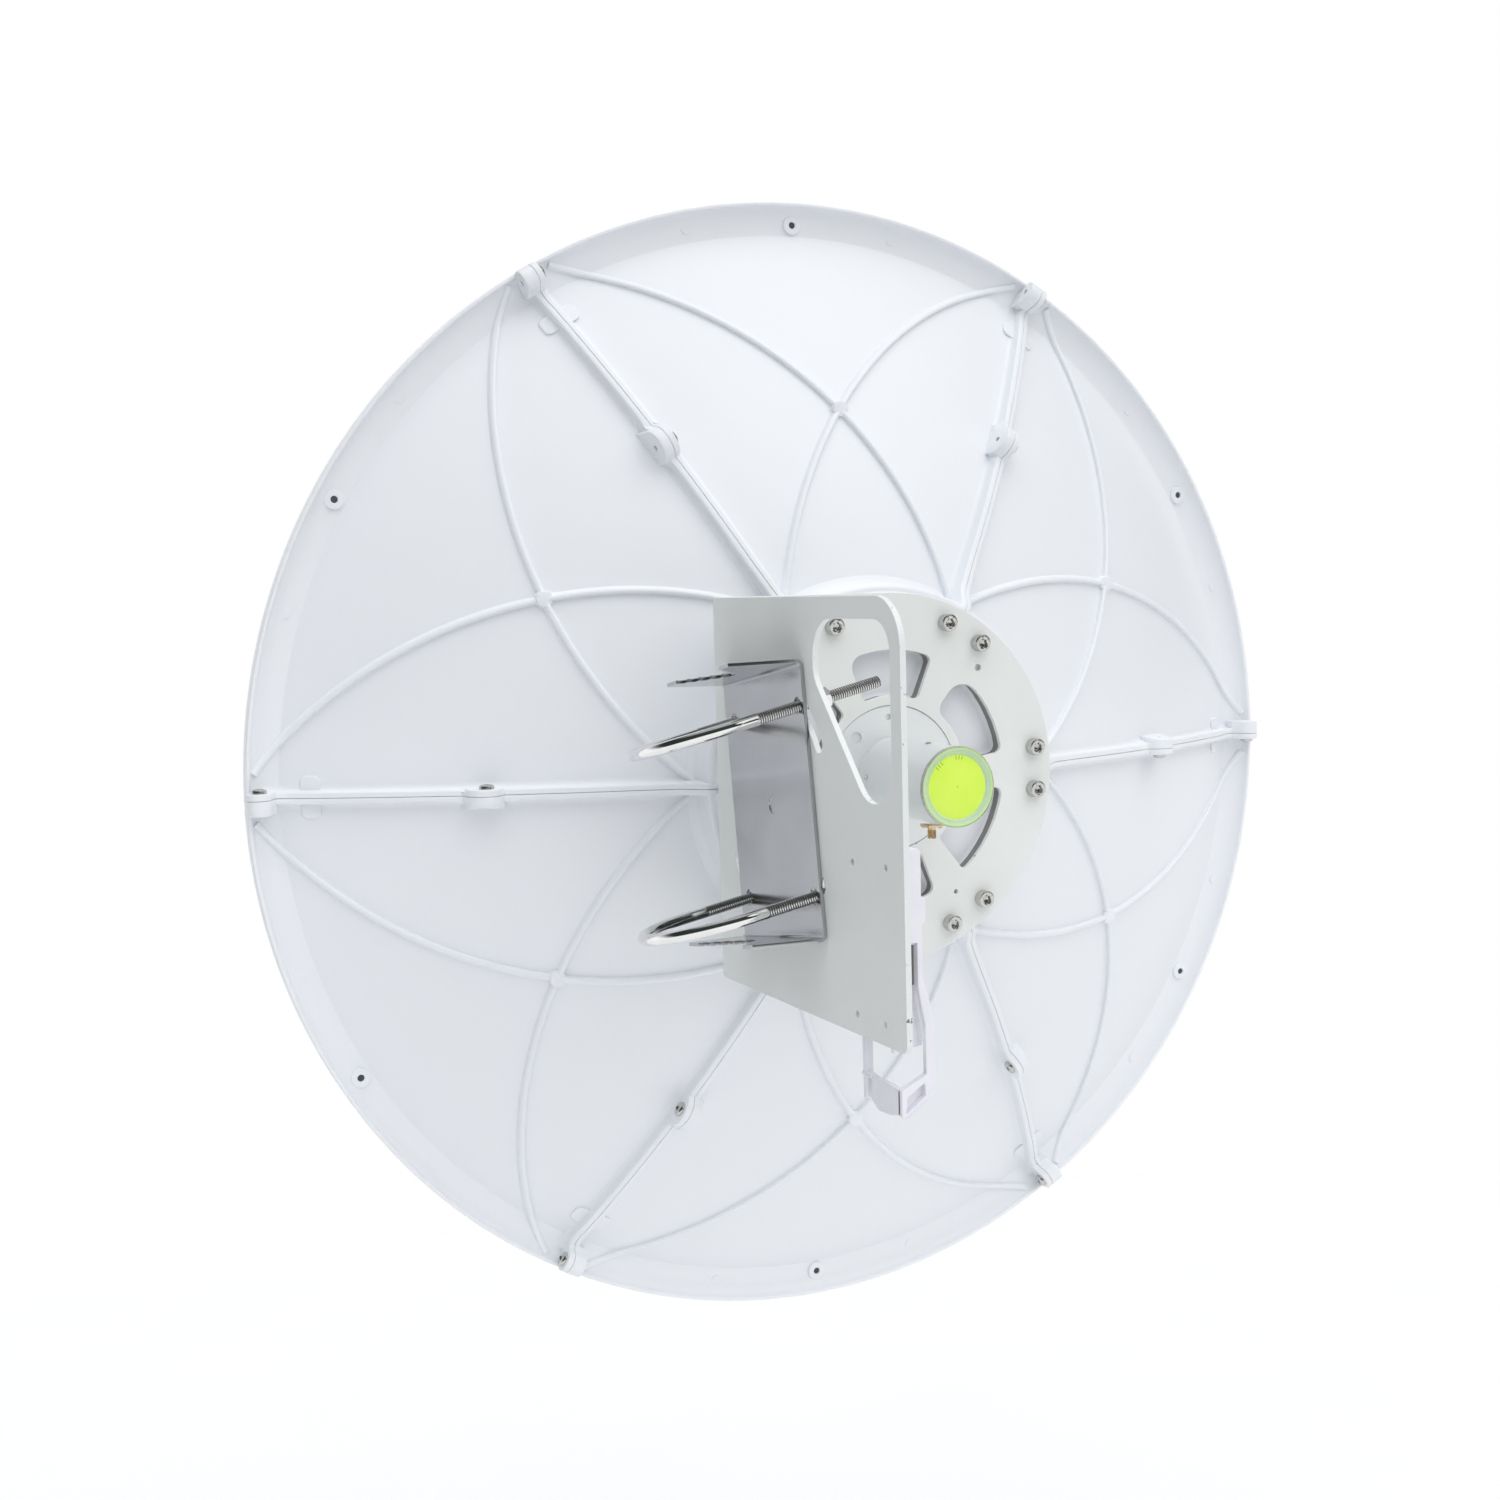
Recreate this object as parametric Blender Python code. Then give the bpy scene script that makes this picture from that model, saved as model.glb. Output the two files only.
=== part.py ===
"""Dish antenna held on a mast by a notched channel and two U-bolts.

+Z runs up the mast, +Y is the way the dish looks at no elevation, +X is to the right seen from behind.
The origin lies on the elevation pivot, on the face of the clamp channel that looks at the mast.
The antenna's own pieces are made in the dish frame: its origin is on the dish's axis in the plane of
the rim's edge, and its +Y is the way the dish looks.
"""
import math

import bmesh
import bpy
from mathutils import Matrix, Vector

# Pose of the dish and place of its frame, in metres and degrees
ELEVATION_AT_REST = 8.8
AXIS_FROM_PIVOT = 0.1443
RIM_FROM_PIVOT = 0.250
GAP = 0.0003

# Reflector: a paraboloid in six panels, with a lip that turns to the rear at the rim
RIM_RADIUS = 0.450
FOCAL_LENGTH = 0.3265
VERTEX_Y = -0.1296
SKIN = 0.003
PANELS = 6
PANEL_STEPS = 6
PANEL_INNER_RADIUS = 0.046
HUB_RIM_RADIUS = 0.059
FLANGE_THICKNESS = 0.0046
FLANGE_HEIGHT = 0.010
SPOKE_HALF_WIDTH = 0.0115
SPOKE_FOOT_RISE = 0.004
SEAM_FOOT_RISE = 0.017
HUB_RING_INNER = 0.0995
HUB_RING_OUTER = 0.137
HUB_CONE_FOOT = 0.158
HUB_TOP_Y = -0.1437
STEP = 0.0001
FLANGE_END_RADIUS = 0.436
BAND_OUTER_RADIUS = 0.4462
BAND_OUTER_Y = 0.0120
LIP_THICKNESS = 0.0028
LIP_FRONT_Y = 0.0145
FRONT_EDGE_RADIUS = 0.444
FRONT_EDGE_Y = 0.0190

# Petal ribs: arcs of a circle seen along the axis, two to a panel
RIB_ARC_RADIUS = 0.3213
RIB_ARC_CENTRE = (0.0738, 0.2463)
RIB_FIRST_TURN = -79.5
RIB_LAST_TURN = -7.8
RIB_WIDTH = 0.005
RIB_HEIGHT = 0.0047
RIB_SECTION = ((-0.5, 0.25), (-0.36, -1.0), (0.36, -1.0), (0.5, 0.25))
RIB_CROSSING_RADIUS = 0.280
CROSSING_PAD_RADIUS = 0.0065
CROSSING_PAD_HEIGHT = 0.0056
BOSS_RADIUS = 0.0075
RIM_BOSS_AT = 0.4336
RIM_BOSS_TOP_Y = 0.0068
SEAM_BOSS_AT = 0.2922
SEAM_BOSS_RISE = 0.009
SEAM_BOSS_RADIUS = 0.0136
SEAM_BOSS_FOOT = 0.0147
SEAM_BOSS_WIDTH = 0.0095
RIM_SEAM_BOSS_AT = 0.4415
RIM_SEAM_BOSS_Y = -0.0045
RIM_SEAM_BOSS_RADIUS = 0.0095
RIM_SEAM_BOSS_WIDTH = 0.011
SEAM_EAR = 0.0051

# Bent mounting bracket
PLATE = 0.004
HUB_PLATE_BACK_Y = -0.148
HUB_PLATE_RADIUS = 0.138
SIDE_PLATE_X = -0.1415
SIDE_PLATE_BACK_Y = -0.428
SIDE_PLATE_TOP_Z = 0.138
SIDE_PLATE_FOOT_Z = -0.134
FOLD_RADIUS = 0.006
CENTRE_HOLE_RADIUS = 0.0545
WINDOW_INNER = 0.0615
WINDOW_OUTER = 0.0965
WINDOW_HALF_ANGLE = 21.5
WINDOW_CORNER = 0.007

# Hub screws, M8 with cylinder heads
SCREW_CIRCLE = 0.1236
SCREW_OFF_SEAM = 7.58
SCREW_HEAD_RADIUS = 0.0065
SCREW_HEAD_HEIGHT = 0.008
SCREW_RADIUS = 0.004
SCREW_LENGTH = 0.016
SCREW_HOLE_RADIUS = 0.0046

# Feed
FEED_FLANGE_RADIUS = 0.0536
FEED_FLANGE_THICKNESS = 0.0032
FEED_PLUG_RADIUS = 0.0453
FEED_TUBE_RADIUS = 0.028
FEED_TUBE_WALL = 0.002
FEED_END_Y = -0.2445
WAVEGUIDE_RADIUS = 0.021
SUB_REFLECTOR_Y = 0.150
SUB_REFLECTOR_RADIUS = 0.050
SUB_REFLECTOR_DEPTH = 0.056
CONNECTOR_FLANGE = 0.0127
CONNECTOR_RADIUS = 0.0032
CONNECTOR_LENGTH = 0.0105
LOWER_SOCKET_Y = -0.2065
SIDE_SOCKET_Y = -0.180
FLANGE_HOLE_CIRCLE = 0.0435
FLANGE_HOLE_RADIUS = 0.0027
FLANGE_HOLE_FIRST = 132.5
PLUG_NOSE = 0.004

# Clamp channel, in the mast's frame
CHANNEL_SHEET = 0.0025
CHANNEL_HALF_WIDTH = 0.067
CHANNEL_HALF_HEIGHT = 0.090
CHANNEL_DEPTH = 0.046
FLANGE_SHOULDER = 0.004
PRONG_OUTER_Y = 0.057
PRONG_INNER_Y = 0.038
TOOTH_X = 0.0053
TOOTH_Y = 0.0077
TEETH = 5
PIVOT_RADIUS = 0.0072
PIVOT_HEIGHT = 0.0022
PIVOT_HOLE_RADIUS = 0.0076

# U-bolts, M8
ROD_RADIUS = 0.004
LEG_Y = 0.053
LEG_Z = 0.061
LEG_HOLE_RADIUS = 0.0055
SLOT_HALF_WIDTH = 0.0055
SLOT_REACH = 15.5
NUT_FLATS = 0.013
NUT_HEIGHT = 0.0065
WASHER_RADIUS = 0.012
WASHER_HEIGHT = 0.002
WASHER_START = 0.0137

# Radio holder, in the dish frame; the *_OUT values are measured from the side plate's inner face
HOLDER_FRONT_Y = -0.352
HOLDER_BACK_Y = -0.412
HOLDER_TOP_Z = -0.011
HOLDER_SHOULDER_Z = -0.046
HOLDER_FOOT_Z = -0.171
HOLDER_BLOCK = 0.0161
HOLDER_WALL = 0.006
HOLDER_WALL_OUT = 0.0183
HOLDER_ARM_OUT = 0.0238
MOUTH_TOP_Z = -0.069
MOUTH_FOOT_Z = -0.101
ARM_KNEE_Z = -0.119
ARM_FOOT_Z = -0.159
LOOP_ARM = 0.008
LOOP_FRONT_ARM = 0.0072
LOOP_BAR = 0.0045
LOOP_BAR_RISE = 0.016
LOOP_FOOT_RISE = 0.011
LOOP_GAP_FOOT_Z = -0.169
LOOP_GAP_TOP_Z = -0.129
FRONT_ARM_FOOT_Z = -0.161
BELLY_RADIUS = 0.060
BELLY_DROP = 0.004


def clear_scene():
    for thing in list(bpy.data.objects):
        bpy.data.objects.remove(thing)


def material(name, colour, roughness, metallic):
    made = bpy.data.materials.new(name)
    made.use_nodes = True
    shader = made.node_tree.nodes["Principled BSDF"]
    shader.inputs["Base Color"].default_value = (*colour, 1.0)
    shader.inputs["Roughness"].default_value = roughness
    shader.inputs["Metallic"].default_value = metallic
    return made


def mesh_from(bm, name):
    """Turns the faces outward and stores the mesh."""
    bmesh.ops.recalc_face_normals(bm, faces=bm.faces)
    mesh = bpy.data.meshes.new(name)
    bm.to_mesh(mesh)
    bm.free()
    return mesh


def place(name, mesh, finish, parent=None, matrix=Matrix.Identity(4), smooth=True):
    """Puts a mesh in the scene as one named piece."""
    mesh.materials.clear()
    mesh.materials.append(finish)
    if smooth:
        mesh.shade_smooth()
        mesh.set_sharp_from_angle(angle=math.radians(30))
    piece = bpy.data.objects.new(name, mesh)
    bpy.context.scene.collection.objects.link(piece)
    piece.parent = parent
    piece.matrix_local = matrix
    return piece


def prism(outline, low, high, axis):
    """A closed solid: an outline extruded along X, Y or Z.

    The outline's points are (y, z) for X, (x, z) for Y and (x, y) for Z.
    """
    corner = {
        "X": lambda a, b, depth: (depth, a, b),
        "Y": lambda a, b, depth: (a, depth, b),
        "Z": lambda a, b, depth: (a, b, depth),
    }[axis]
    bm = bmesh.new()
    near = [bm.verts.new(corner(a, b, low)) for a, b in outline]
    far = [bm.verts.new(corner(a, b, high)) for a, b in outline]
    bm.faces.new(near)
    bm.faces.new(far)
    count = len(outline)
    for i in range(count):
        j = (i + 1) % count
        bm.faces.new((near[i], near[j], far[j], far[i]))
    return mesh_from(bm, "prism")


def turned(profile, sides):
    """A closed ring or solid turned about Y from (radius, y) points."""
    bm = bmesh.new()
    rings = []
    for radius, y in profile:
        if radius < 1e-6:
            rings.append([bm.verts.new((0, y, 0))])
            continue
        ring = []
        for k in range(sides):
            turn = 2 * math.pi * k / sides
            ring.append(bm.verts.new((radius * math.cos(turn), y, radius * math.sin(turn))))
        rings.append(ring)
    closed = profile[0][0] > 1e-6 and profile[-1][0] > 1e-6
    pairs = list(zip(rings, rings[1:]))
    if closed:
        pairs.append((rings[-1], rings[0]))
    for inner, outer in pairs:
        for k in range(sides):
            m = (k + 1) % sides
            if len(inner) == 1:
                bm.faces.new((inner[0], outer[k], outer[m]))
            elif len(outer) == 1:
                bm.faces.new((inner[k], outer[0], inner[m]))
            else:
                bm.faces.new((inner[k], outer[k], outer[m], inner[m]))
    return mesh_from(bm, "turned")


def circle(radius, sides, centre=(0.0, 0.0), start=0.0):
    points = []
    for k in range(sides):
        turn = start + 2 * math.pi * k / sides
        points.append((centre[0] + radius * math.cos(turn), centre[1] + radius * math.sin(turn)))
    return points


def arc(centre, radius, first, last, steps):
    """Points on a circle from one angle to another, in degrees."""
    points = []
    for k in range(steps + 1):
        turn = math.radians(first + (last - first) * k / steps)
        points.append((centre[0] + radius * math.cos(turn), centre[1] + radius * math.sin(turn)))
    return points


def rounded(corners, steps=3):
    """Rounds the corners of an outline; each corner is (x, y, radius)."""
    points = []
    count = len(corners)
    for i, (x, y, radius) in enumerate(corners):
        here = Vector((x, y))
        if radius == 0:
            points.append((x, y))
            continue
        before = (Vector(corners[i - 1][:2]) - here).normalized()
        after = (Vector(corners[(i + 1) % count][:2]) - here).normalized()
        half = before.angle(after) / 2
        centre = here + (before + after).normalized() * radius / math.sin(half)
        start = here + before * radius / math.tan(half) - centre
        end = here + after * radius / math.tan(half) - centre
        turn = start.angle_signed(end)
        for k in range(steps + 1):
            spoke = start.copy()
            spoke.rotate(Matrix.Rotation(-turn * k / steps, 2))
            points.append(tuple(centre + spoke))
    return points


def combined(base, tools, operation):
    """Boolean of one mesh with others, worked out once and returned as a mesh."""
    scene = bpy.context.scene
    body = bpy.data.objects.new("body", base)
    scene.collection.objects.link(body)
    helpers = []
    for tool in tools:
        helper = bpy.data.objects.new("tool", tool)
        helper.hide_render = True
        helper.display_type = "WIRE"
        scene.collection.objects.link(helper)
        helpers.append(helper)
        step = body.modifiers.new("step", "BOOLEAN")
        step.operation = operation
        step.solver = "EXACT"
        step.object = helper
    graph = bpy.context.evaluated_depsgraph_get()
    mesh = bpy.data.meshes.new_from_object(body.evaluated_get(graph))
    for helper in helpers + [body]:
        bpy.data.objects.remove(helper)
    return mesh


def moved(mesh, matrix):
    copy = mesh.copy()
    copy.transform(matrix)
    return copy


def about_axis(degrees):
    """Turn about the dish's axis, from +X towards +Z."""
    return Matrix.Rotation(-math.radians(degrees), 4, "Y")


def back_of_skin(radius):
    return VERTEX_Y + radius * radius / (4 * FOCAL_LENGTH)


def panel_rows():
    """Stations from the hub to the rim: radius, and depth of the skin's back, of the flange and spoke."""
    rows = []

    def add(radius, skin, flange, spoke):
        rows.append((radius, skin, flange, spoke))

    for radius in (PANEL_INNER_RADIUS, HUB_RIM_RADIUS):
        add(radius, HUB_TOP_Y, HUB_TOP_Y, HUB_TOP_Y)
    for radius in (HUB_RIM_RADIUS + STEP, HUB_RING_INNER - STEP):
        add(radius, back_of_skin(radius), HUB_TOP_Y, HUB_TOP_Y)
    for radius in (HUB_RING_INNER, HUB_RING_OUTER):
        add(radius, HUB_TOP_Y, HUB_TOP_Y, HUB_TOP_Y)
    foot = back_of_skin(HUB_CONE_FOOT)
    add(HUB_CONE_FOOT, foot, foot - SEAM_FOOT_RISE, foot - SPOKE_FOOT_RISE)
    for radius in (0.200, 0.250, 0.300, 0.350, 0.390, 0.420):
        skin = back_of_skin(radius)
        add(radius, skin, skin - FLANGE_HEIGHT, skin)
    end = back_of_skin(FLANGE_END_RADIUS)
    add(FLANGE_END_RADIUS, end, GAP, end)
    add(BAND_OUTER_RADIUS, BAND_OUTER_Y, GAP, BAND_OUTER_Y)
    add(RIM_RADIUS - LIP_THICKNESS, 0.0, 0.0, 0.0)
    add(RIM_RADIUS, 0.0, 0.0, 0.0)
    return rows


def front_of_panel(radius):
    if radius > RIM_RADIUS - STEP:
        return LIP_FRONT_Y
    if radius > FRONT_EDGE_RADIUS:
        return FRONT_EDGE_Y
    return back_of_skin(radius) + SKIN


def panel_shell():
    """One sixth of the reflector with its seam flanges, hub block and rim lip, centred on +X."""
    rows = panel_rows()
    half = math.pi / PANELS
    bm = bmesh.new()

    def column_angles(radius):
        offsets = (GAP / 2, GAP / 2 + FLANGE_THICKNESS, GAP / 2 + SPOKE_HALF_WIDTH)
        edges = [half - math.asin(off / radius) for off in offsets]
        inside = [edges[2] * (1 - 2 * k / PANEL_STEPS) for k in range(PANEL_STEPS + 1)]
        left = [edges[0], edges[1], edges[1], inside[0]]
        return left + inside + [-angle for angle in reversed(left)]

    def ring(radius, depth):
        """One row of corners at a radius; depth gives y for each column."""
        angles = column_angles(radius)
        return [bm.verts.new((radius * math.cos(a), y, radius * math.sin(a))) for a, y in zip(angles, depth)]

    back = []
    front = []
    for radius, skin, flange, spoke in rows:
        left = [flange, flange, spoke, spoke]
        back_depth = left + [skin] * (PANEL_STEPS + 1) + left[::-1]
        back.append(ring(radius, back_depth))
        front.append(ring(radius, [front_of_panel(radius)] * len(back_depth)))
    last = len(back[0]) - 1
    for i in range(len(rows) - 1):
        for j in range(last):
            bm.faces.new((back[i][j], back[i + 1][j], back[i + 1][j + 1], back[i][j + 1]))
            bm.faces.new((front[i][j], front[i][j + 1], front[i + 1][j + 1], front[i + 1][j]))
        for j in (0, last):
            bm.faces.new((back[i][j], front[i][j], front[i + 1][j], back[i + 1][j]))
    for i in (0, len(rows) - 1):
        for j in range(last):
            bm.faces.new((back[i][j], back[i][j + 1], front[i][j + 1], front[i][j]))
    bmesh.ops.remove_doubles(bm, verts=bm.verts, dist=1e-6)
    bmesh.ops.dissolve_degenerate(bm, edges=bm.edges, dist=1e-6)
    bmesh.ops.triangulate(bm, faces=bm.faces)
    return mesh_from(bm, "panel_shell")


def petal_rib(side, height, steps):
    """One curved rib on the back of a panel, as a bar that is sunk into the skin."""
    centre = (RIB_ARC_CENTRE[0], side * RIB_ARC_CENTRE[1])
    bm = bmesh.new()
    rings = []
    for k in range(steps + 1):
        turn = side * math.radians(RIB_FIRST_TURN + (RIB_LAST_TURN - RIB_FIRST_TURN) * k / steps)
        spoke = Vector((math.cos(turn), math.sin(turn)))
        ring = []
        for off, lift in RIB_SECTION:
            at = Vector(centre) + spoke * (RIB_ARC_RADIUS + off * RIB_WIDTH)
            y = back_of_skin(at.length) + lift * height
            ring.append(bm.verts.new((at.x, y, at.y)))
        rings.append(ring)
    for first, second in zip(rings, rings[1:]):
        for j in range(len(RIB_SECTION)):
            m = (j + 1) % len(RIB_SECTION)
            bm.faces.new((first[j], first[m], second[m], second[j]))
    bm.faces.new(rings[0])
    bm.faces.new(rings[-1])
    bmesh.ops.triangulate(bm, faces=bm.faces)
    return mesh_from(bm, "petal_rib")


def stud(at, radius, top_y, sides):
    """Round boss on a panel's centre line, its foot sunk a little into the sloping skin."""
    foot_depth = 0.0012
    boss = prism(circle(radius, sides, (at, 0)), top_y, 1.0, "Y")
    for vertex in boss.vertices:
        if vertex.co.y > 0.5:
            vertex.co.y = back_of_skin(math.hypot(vertex.co.x, vertex.co.z)) + foot_depth
    return boss


def sunk(radius):
    """Depth just inside the skin, where a boss or rib ends."""
    return back_of_skin(radius) + 0.001


def middle_boss_outline():
    """Hump halfway along a seam flange, as (radius, y) points."""
    at = SEAM_BOSS_AT
    top = arc((at, back_of_skin(at) - SEAM_BOSS_RISE), SEAM_BOSS_RADIUS, 180, 360, 6)
    return [(at - SEAM_BOSS_FOOT, sunk(at - SEAM_BOSS_FOOT))] + top + [
        (at + SEAM_BOSS_FOOT, sunk(at + SEAM_BOSS_FOOT)), (at, sunk(at))]


def rim_boss_outline():
    """Hump at the rim's end of a seam flange, which stands out past the lip, as (radius, y) points."""
    at = RIM_SEAM_BOSS_AT
    top = arc((at, RIM_SEAM_BOSS_Y), RIM_SEAM_BOSS_RADIUS, 187, 380, 6)
    lip = RIM_RADIUS - LIP_THICKNESS / 2
    return [(at - RIM_SEAM_BOSS_RADIUS, sunk(at - RIM_SEAM_BOSS_RADIUS))] + top + [
        (lip, LIP_FRONT_Y / 2), (BAND_OUTER_RADIUS, BAND_OUTER_Y + 0.001), (at, sunk(at))]


def seam_boss(outline, width, side):
    """Hump on a seam flange: the clockwise side's ear is thin, the other side's is thick."""
    inset = GAP / 2 + 0.0002
    if side > 0:
        return prism(outline, -SEAM_EAR, -inset, "Z")
    return prism(outline, inset, width, "Z")


def panel_mesh():
    tools = [petal_rib(1, RIB_HEIGHT, 11), petal_rib(-1, RIB_HEIGHT * 0.94, 10)]
    crossing_y = back_of_skin(RIB_CROSSING_RADIUS)
    tools.append(stud(RIB_CROSSING_RADIUS, CROSSING_PAD_RADIUS, crossing_y - CROSSING_PAD_HEIGHT, 9))
    tools.append(stud(RIM_BOSS_AT, BOSS_RADIUS, RIM_BOSS_TOP_Y, 9))
    half = 180 / PANELS
    for side in (1, -1):
        for outline, width in (
            (middle_boss_outline(), SEAM_BOSS_WIDTH), (rim_boss_outline(), RIM_SEAM_BOSS_WIDTH)
        ):
            boss = seam_boss(outline, width, side)
            tools.append(moved(boss, about_axis(side * half)))
    body = combined(panel_shell(), tools, "UNION")
    holes = []
    for side in (1, -1):
        angle = math.radians(side * (half - SCREW_OFF_SEAM))
        centre = (SCREW_CIRCLE * math.cos(angle), SCREW_CIRCLE * math.sin(angle))
        holes.append(prism(circle(SCREW_HOLE_RADIUS, 8, centre), HUB_TOP_Y - 0.002,
                           HUB_PLATE_BACK_Y + SCREW_LENGTH + 0.001, "Y"))
    return combined(body, holes, "DIFFERENCE")


def hub_window(mid):
    """Outline of one rounded sector window of the hub plate, as (x, z) points."""
    corners = []
    for radius, angle, corner in (
        (WINDOW_INNER, -WINDOW_HALF_ANGLE, WINDOW_CORNER),
        (WINDOW_OUTER, -WINDOW_HALF_ANGLE, WINDOW_CORNER),
        (WINDOW_OUTER, -WINDOW_HALF_ANGLE / 3, 0),
        (WINDOW_OUTER, WINDOW_HALF_ANGLE / 3, 0),
        (WINDOW_OUTER, WINDOW_HALF_ANGLE, WINDOW_CORNER),
        (WINDOW_INNER, WINDOW_HALF_ANGLE, WINDOW_CORNER),
        (WINDOW_INNER * 1.003, 0, 0),
    ):
        turn = math.radians(mid + angle)
        corners.append((radius * math.cos(turn), radius * math.sin(turn), corner))
    return rounded(corners, 2)


def side_window():
    """Outline of the side plate's tear-shaped window, as (y, z) points."""
    return rounded([
        (-0.3115, 0.124, 0.025),
        (-0.415, 0.124, 0.020),
        (-0.415, -0.0216, 0.024),
        (-0.3115, 0.0874, 0.020),
    ], 4)


def arc_slot(leg_angle):
    """Outline of one slot of the side plate, bent round the pivot, as (y, z) points in the dish frame."""
    reach = math.hypot(LEG_Y, LEG_Z)
    pivot = (-RIM_FROM_PIVOT, 0.0)
    low = leg_angle - SLOT_REACH
    high = leg_angle + SLOT_REACH
    outline = arc(pivot, reach + SLOT_HALF_WIDTH, low, high, 4)
    end = math.radians(high)
    outline += arc((pivot[0] + reach * math.cos(end), pivot[1] + reach * math.sin(end)),
                   SLOT_HALF_WIDTH, high, high + 180, 5)[1:-1]
    outline += arc(pivot, reach - SLOT_HALF_WIDTH, high, low, 4)
    start = math.radians(low)
    outline += arc((pivot[0] + reach * math.cos(start), pivot[1] + reach * math.sin(start)),
                   SLOT_HALF_WIDTH, low + 180, low + 360, 5)[1:-1]
    return outline


def bracket_mesh():
    """The bent plate: hub plate, fold and side plate in one sheet."""
    front_y = HUB_PLATE_BACK_Y + PLATE
    hub_left = SIDE_PLATE_X + FOLD_RADIUS
    hub_outline = [(hub_left, HUB_PLATE_RADIUS), (hub_left, SIDE_PLATE_FOOT_Z)]
    hub_outline += [(-0.0329, SIDE_PLATE_FOOT_Z)] + arc((0, 0), HUB_PLATE_RADIUS, -104, 90, 22)
    hub = prism(hub_outline, HUB_PLATE_BACK_Y, front_y, "Y")
    fold_centre = (SIDE_PLATE_X + FOLD_RADIUS, front_y - FOLD_RADIUS)
    outer = arc(fold_centre, FOLD_RADIUS, 180, 90, 4)
    inner = arc(fold_centre, FOLD_RADIUS - PLATE, 90, 180, 2)
    overlap = 0.004
    fold_profile = [(SIDE_PLATE_X, fold_centre[1] - overlap)] + outer + [(hub_left + overlap, front_y)]
    fold_profile += [(hub_left + overlap, HUB_PLATE_BACK_Y)] + inner
    fold_profile += [(SIDE_PLATE_X + PLATE, fold_centre[1] - overlap)]
    fold = prism(fold_profile, SIDE_PLATE_FOOT_Z, SIDE_PLATE_TOP_Z, "Z")
    side_outline = rounded([
        (fold_centre[1], SIDE_PLATE_TOP_Z, 0),
        (SIDE_PLATE_BACK_Y, SIDE_PLATE_TOP_Z, 0.030),
        (SIDE_PLATE_BACK_Y, SIDE_PLATE_FOOT_Z, 0.006),
        (fold_centre[1], SIDE_PLATE_FOOT_Z, 0),
    ], 5)
    side = prism(side_outline, SIDE_PLATE_X, SIDE_PLATE_X + PLATE, "X")
    sheet = combined(hub, [fold, side], "UNION")
    low = HUB_PLATE_BACK_Y - 0.002
    high = front_y + 0.002
    cutters = [prism(circle(CENTRE_HOLE_RADIUS, 32), low, high, "Y")]
    for k in range(PANELS):
        cutters.append(prism(hub_window(30 + 60 * k), low, high, "Y"))
        for side_sign in (1, -1):
            angle = math.radians(60 * k + side_sign * SCREW_OFF_SEAM)
            centre = (SCREW_CIRCLE * math.cos(angle), SCREW_CIRCLE * math.sin(angle))
            cutters.append(prism(circle(SCREW_HOLE_RADIUS, 8, centre), low, high, "Y"))
    low = SIDE_PLATE_X - 0.002
    high = SIDE_PLATE_X + PLATE + 0.002
    cutters.append(prism(side_window(), low, high, "X"))
    cutters.append(prism(circle(PIVOT_HOLE_RADIUS, 24, (-RIM_FROM_PIVOT, 0)), low, high, "X"))
    leg = math.degrees(math.atan2(LEG_Z, LEG_Y))
    for angle in (leg, 180 - leg, 180 + leg, -leg):
        cutters.append(prism(arc_slot(angle), low, high, "X"))
    return combined(sheet, cutters, "DIFFERENCE")


def hub_screw_mesh():
    """Cap screw, its axis on Y and its head's seat at the origin, head towards -Y."""
    head = [(0, -SCREW_HEAD_HEIGHT), (SCREW_HEAD_RADIUS - 0.0006, -SCREW_HEAD_HEIGHT),
            (SCREW_HEAD_RADIUS, -SCREW_HEAD_HEIGHT + 0.0006), (SCREW_HEAD_RADIUS, -GAP),
            (SCREW_RADIUS, -GAP), (SCREW_RADIUS, SCREW_LENGTH - GAP), (0, SCREW_LENGTH - GAP)]
    return turned(head, 10)


def plug_front():
    """Front face of the plug that fills the middle of the dish."""
    return back_of_skin(FEED_PLUG_RADIUS) + SKIN + PLUG_NOSE


def feed_flange_mesh():
    """Flange that lies in the plate's centre hole on the hub's inner ring, with the plug in front."""
    front = HUB_PLATE_BACK_Y + PLATE
    back = front - FEED_FLANGE_THICKNESS
    nose = plug_front()
    profile = [(0, back), (FEED_FLANGE_RADIUS, back), (FEED_FLANGE_RADIUS, front),
               (FEED_PLUG_RADIUS, front), (FEED_PLUG_RADIUS, nose - PLUG_NOSE),
               (FEED_PLUG_RADIUS - PLUG_NOSE, nose), (0, nose)]
    body = turned(profile, 32)
    holes = []
    for k in range(3):
        angle = math.radians(FLANGE_HOLE_FIRST + 120 * k)
        centre = (FLANGE_HOLE_CIRCLE * math.cos(angle), FLANGE_HOLE_CIRCLE * math.sin(angle))
        holes.append(prism(circle(FLANGE_HOLE_RADIUS, 10, centre), back - 0.001, back + 0.0028, "Y"))
    return combined(body, holes, "DIFFERENCE")


def feed_tube_mesh():
    front = HUB_PLATE_BACK_Y + PLATE - FEED_FLANGE_THICKNESS - GAP
    back = FEED_END_Y + 0.003
    inner = FEED_TUBE_RADIUS - FEED_TUBE_WALL
    profile = [(inner, back), (FEED_TUBE_RADIUS, back), (FEED_TUBE_RADIUS, front), (inner, front)]
    return turned(profile, 28)


def feed_end_cap_mesh():
    """Green end disc with its raised rim, over the tube's end."""
    rim = FEED_TUBE_RADIUS + 0.0003
    seat = FEED_END_Y + 0.003 - GAP
    profile = [(0, FEED_END_Y + 0.0008), (rim - 0.003, FEED_END_Y + 0.0008), (rim - 0.002, FEED_END_Y),
               (rim - 0.0006, FEED_END_Y), (rim, FEED_END_Y + 0.0006), (rim, seat), (0, seat)]
    return turned(profile, 28)


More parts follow.
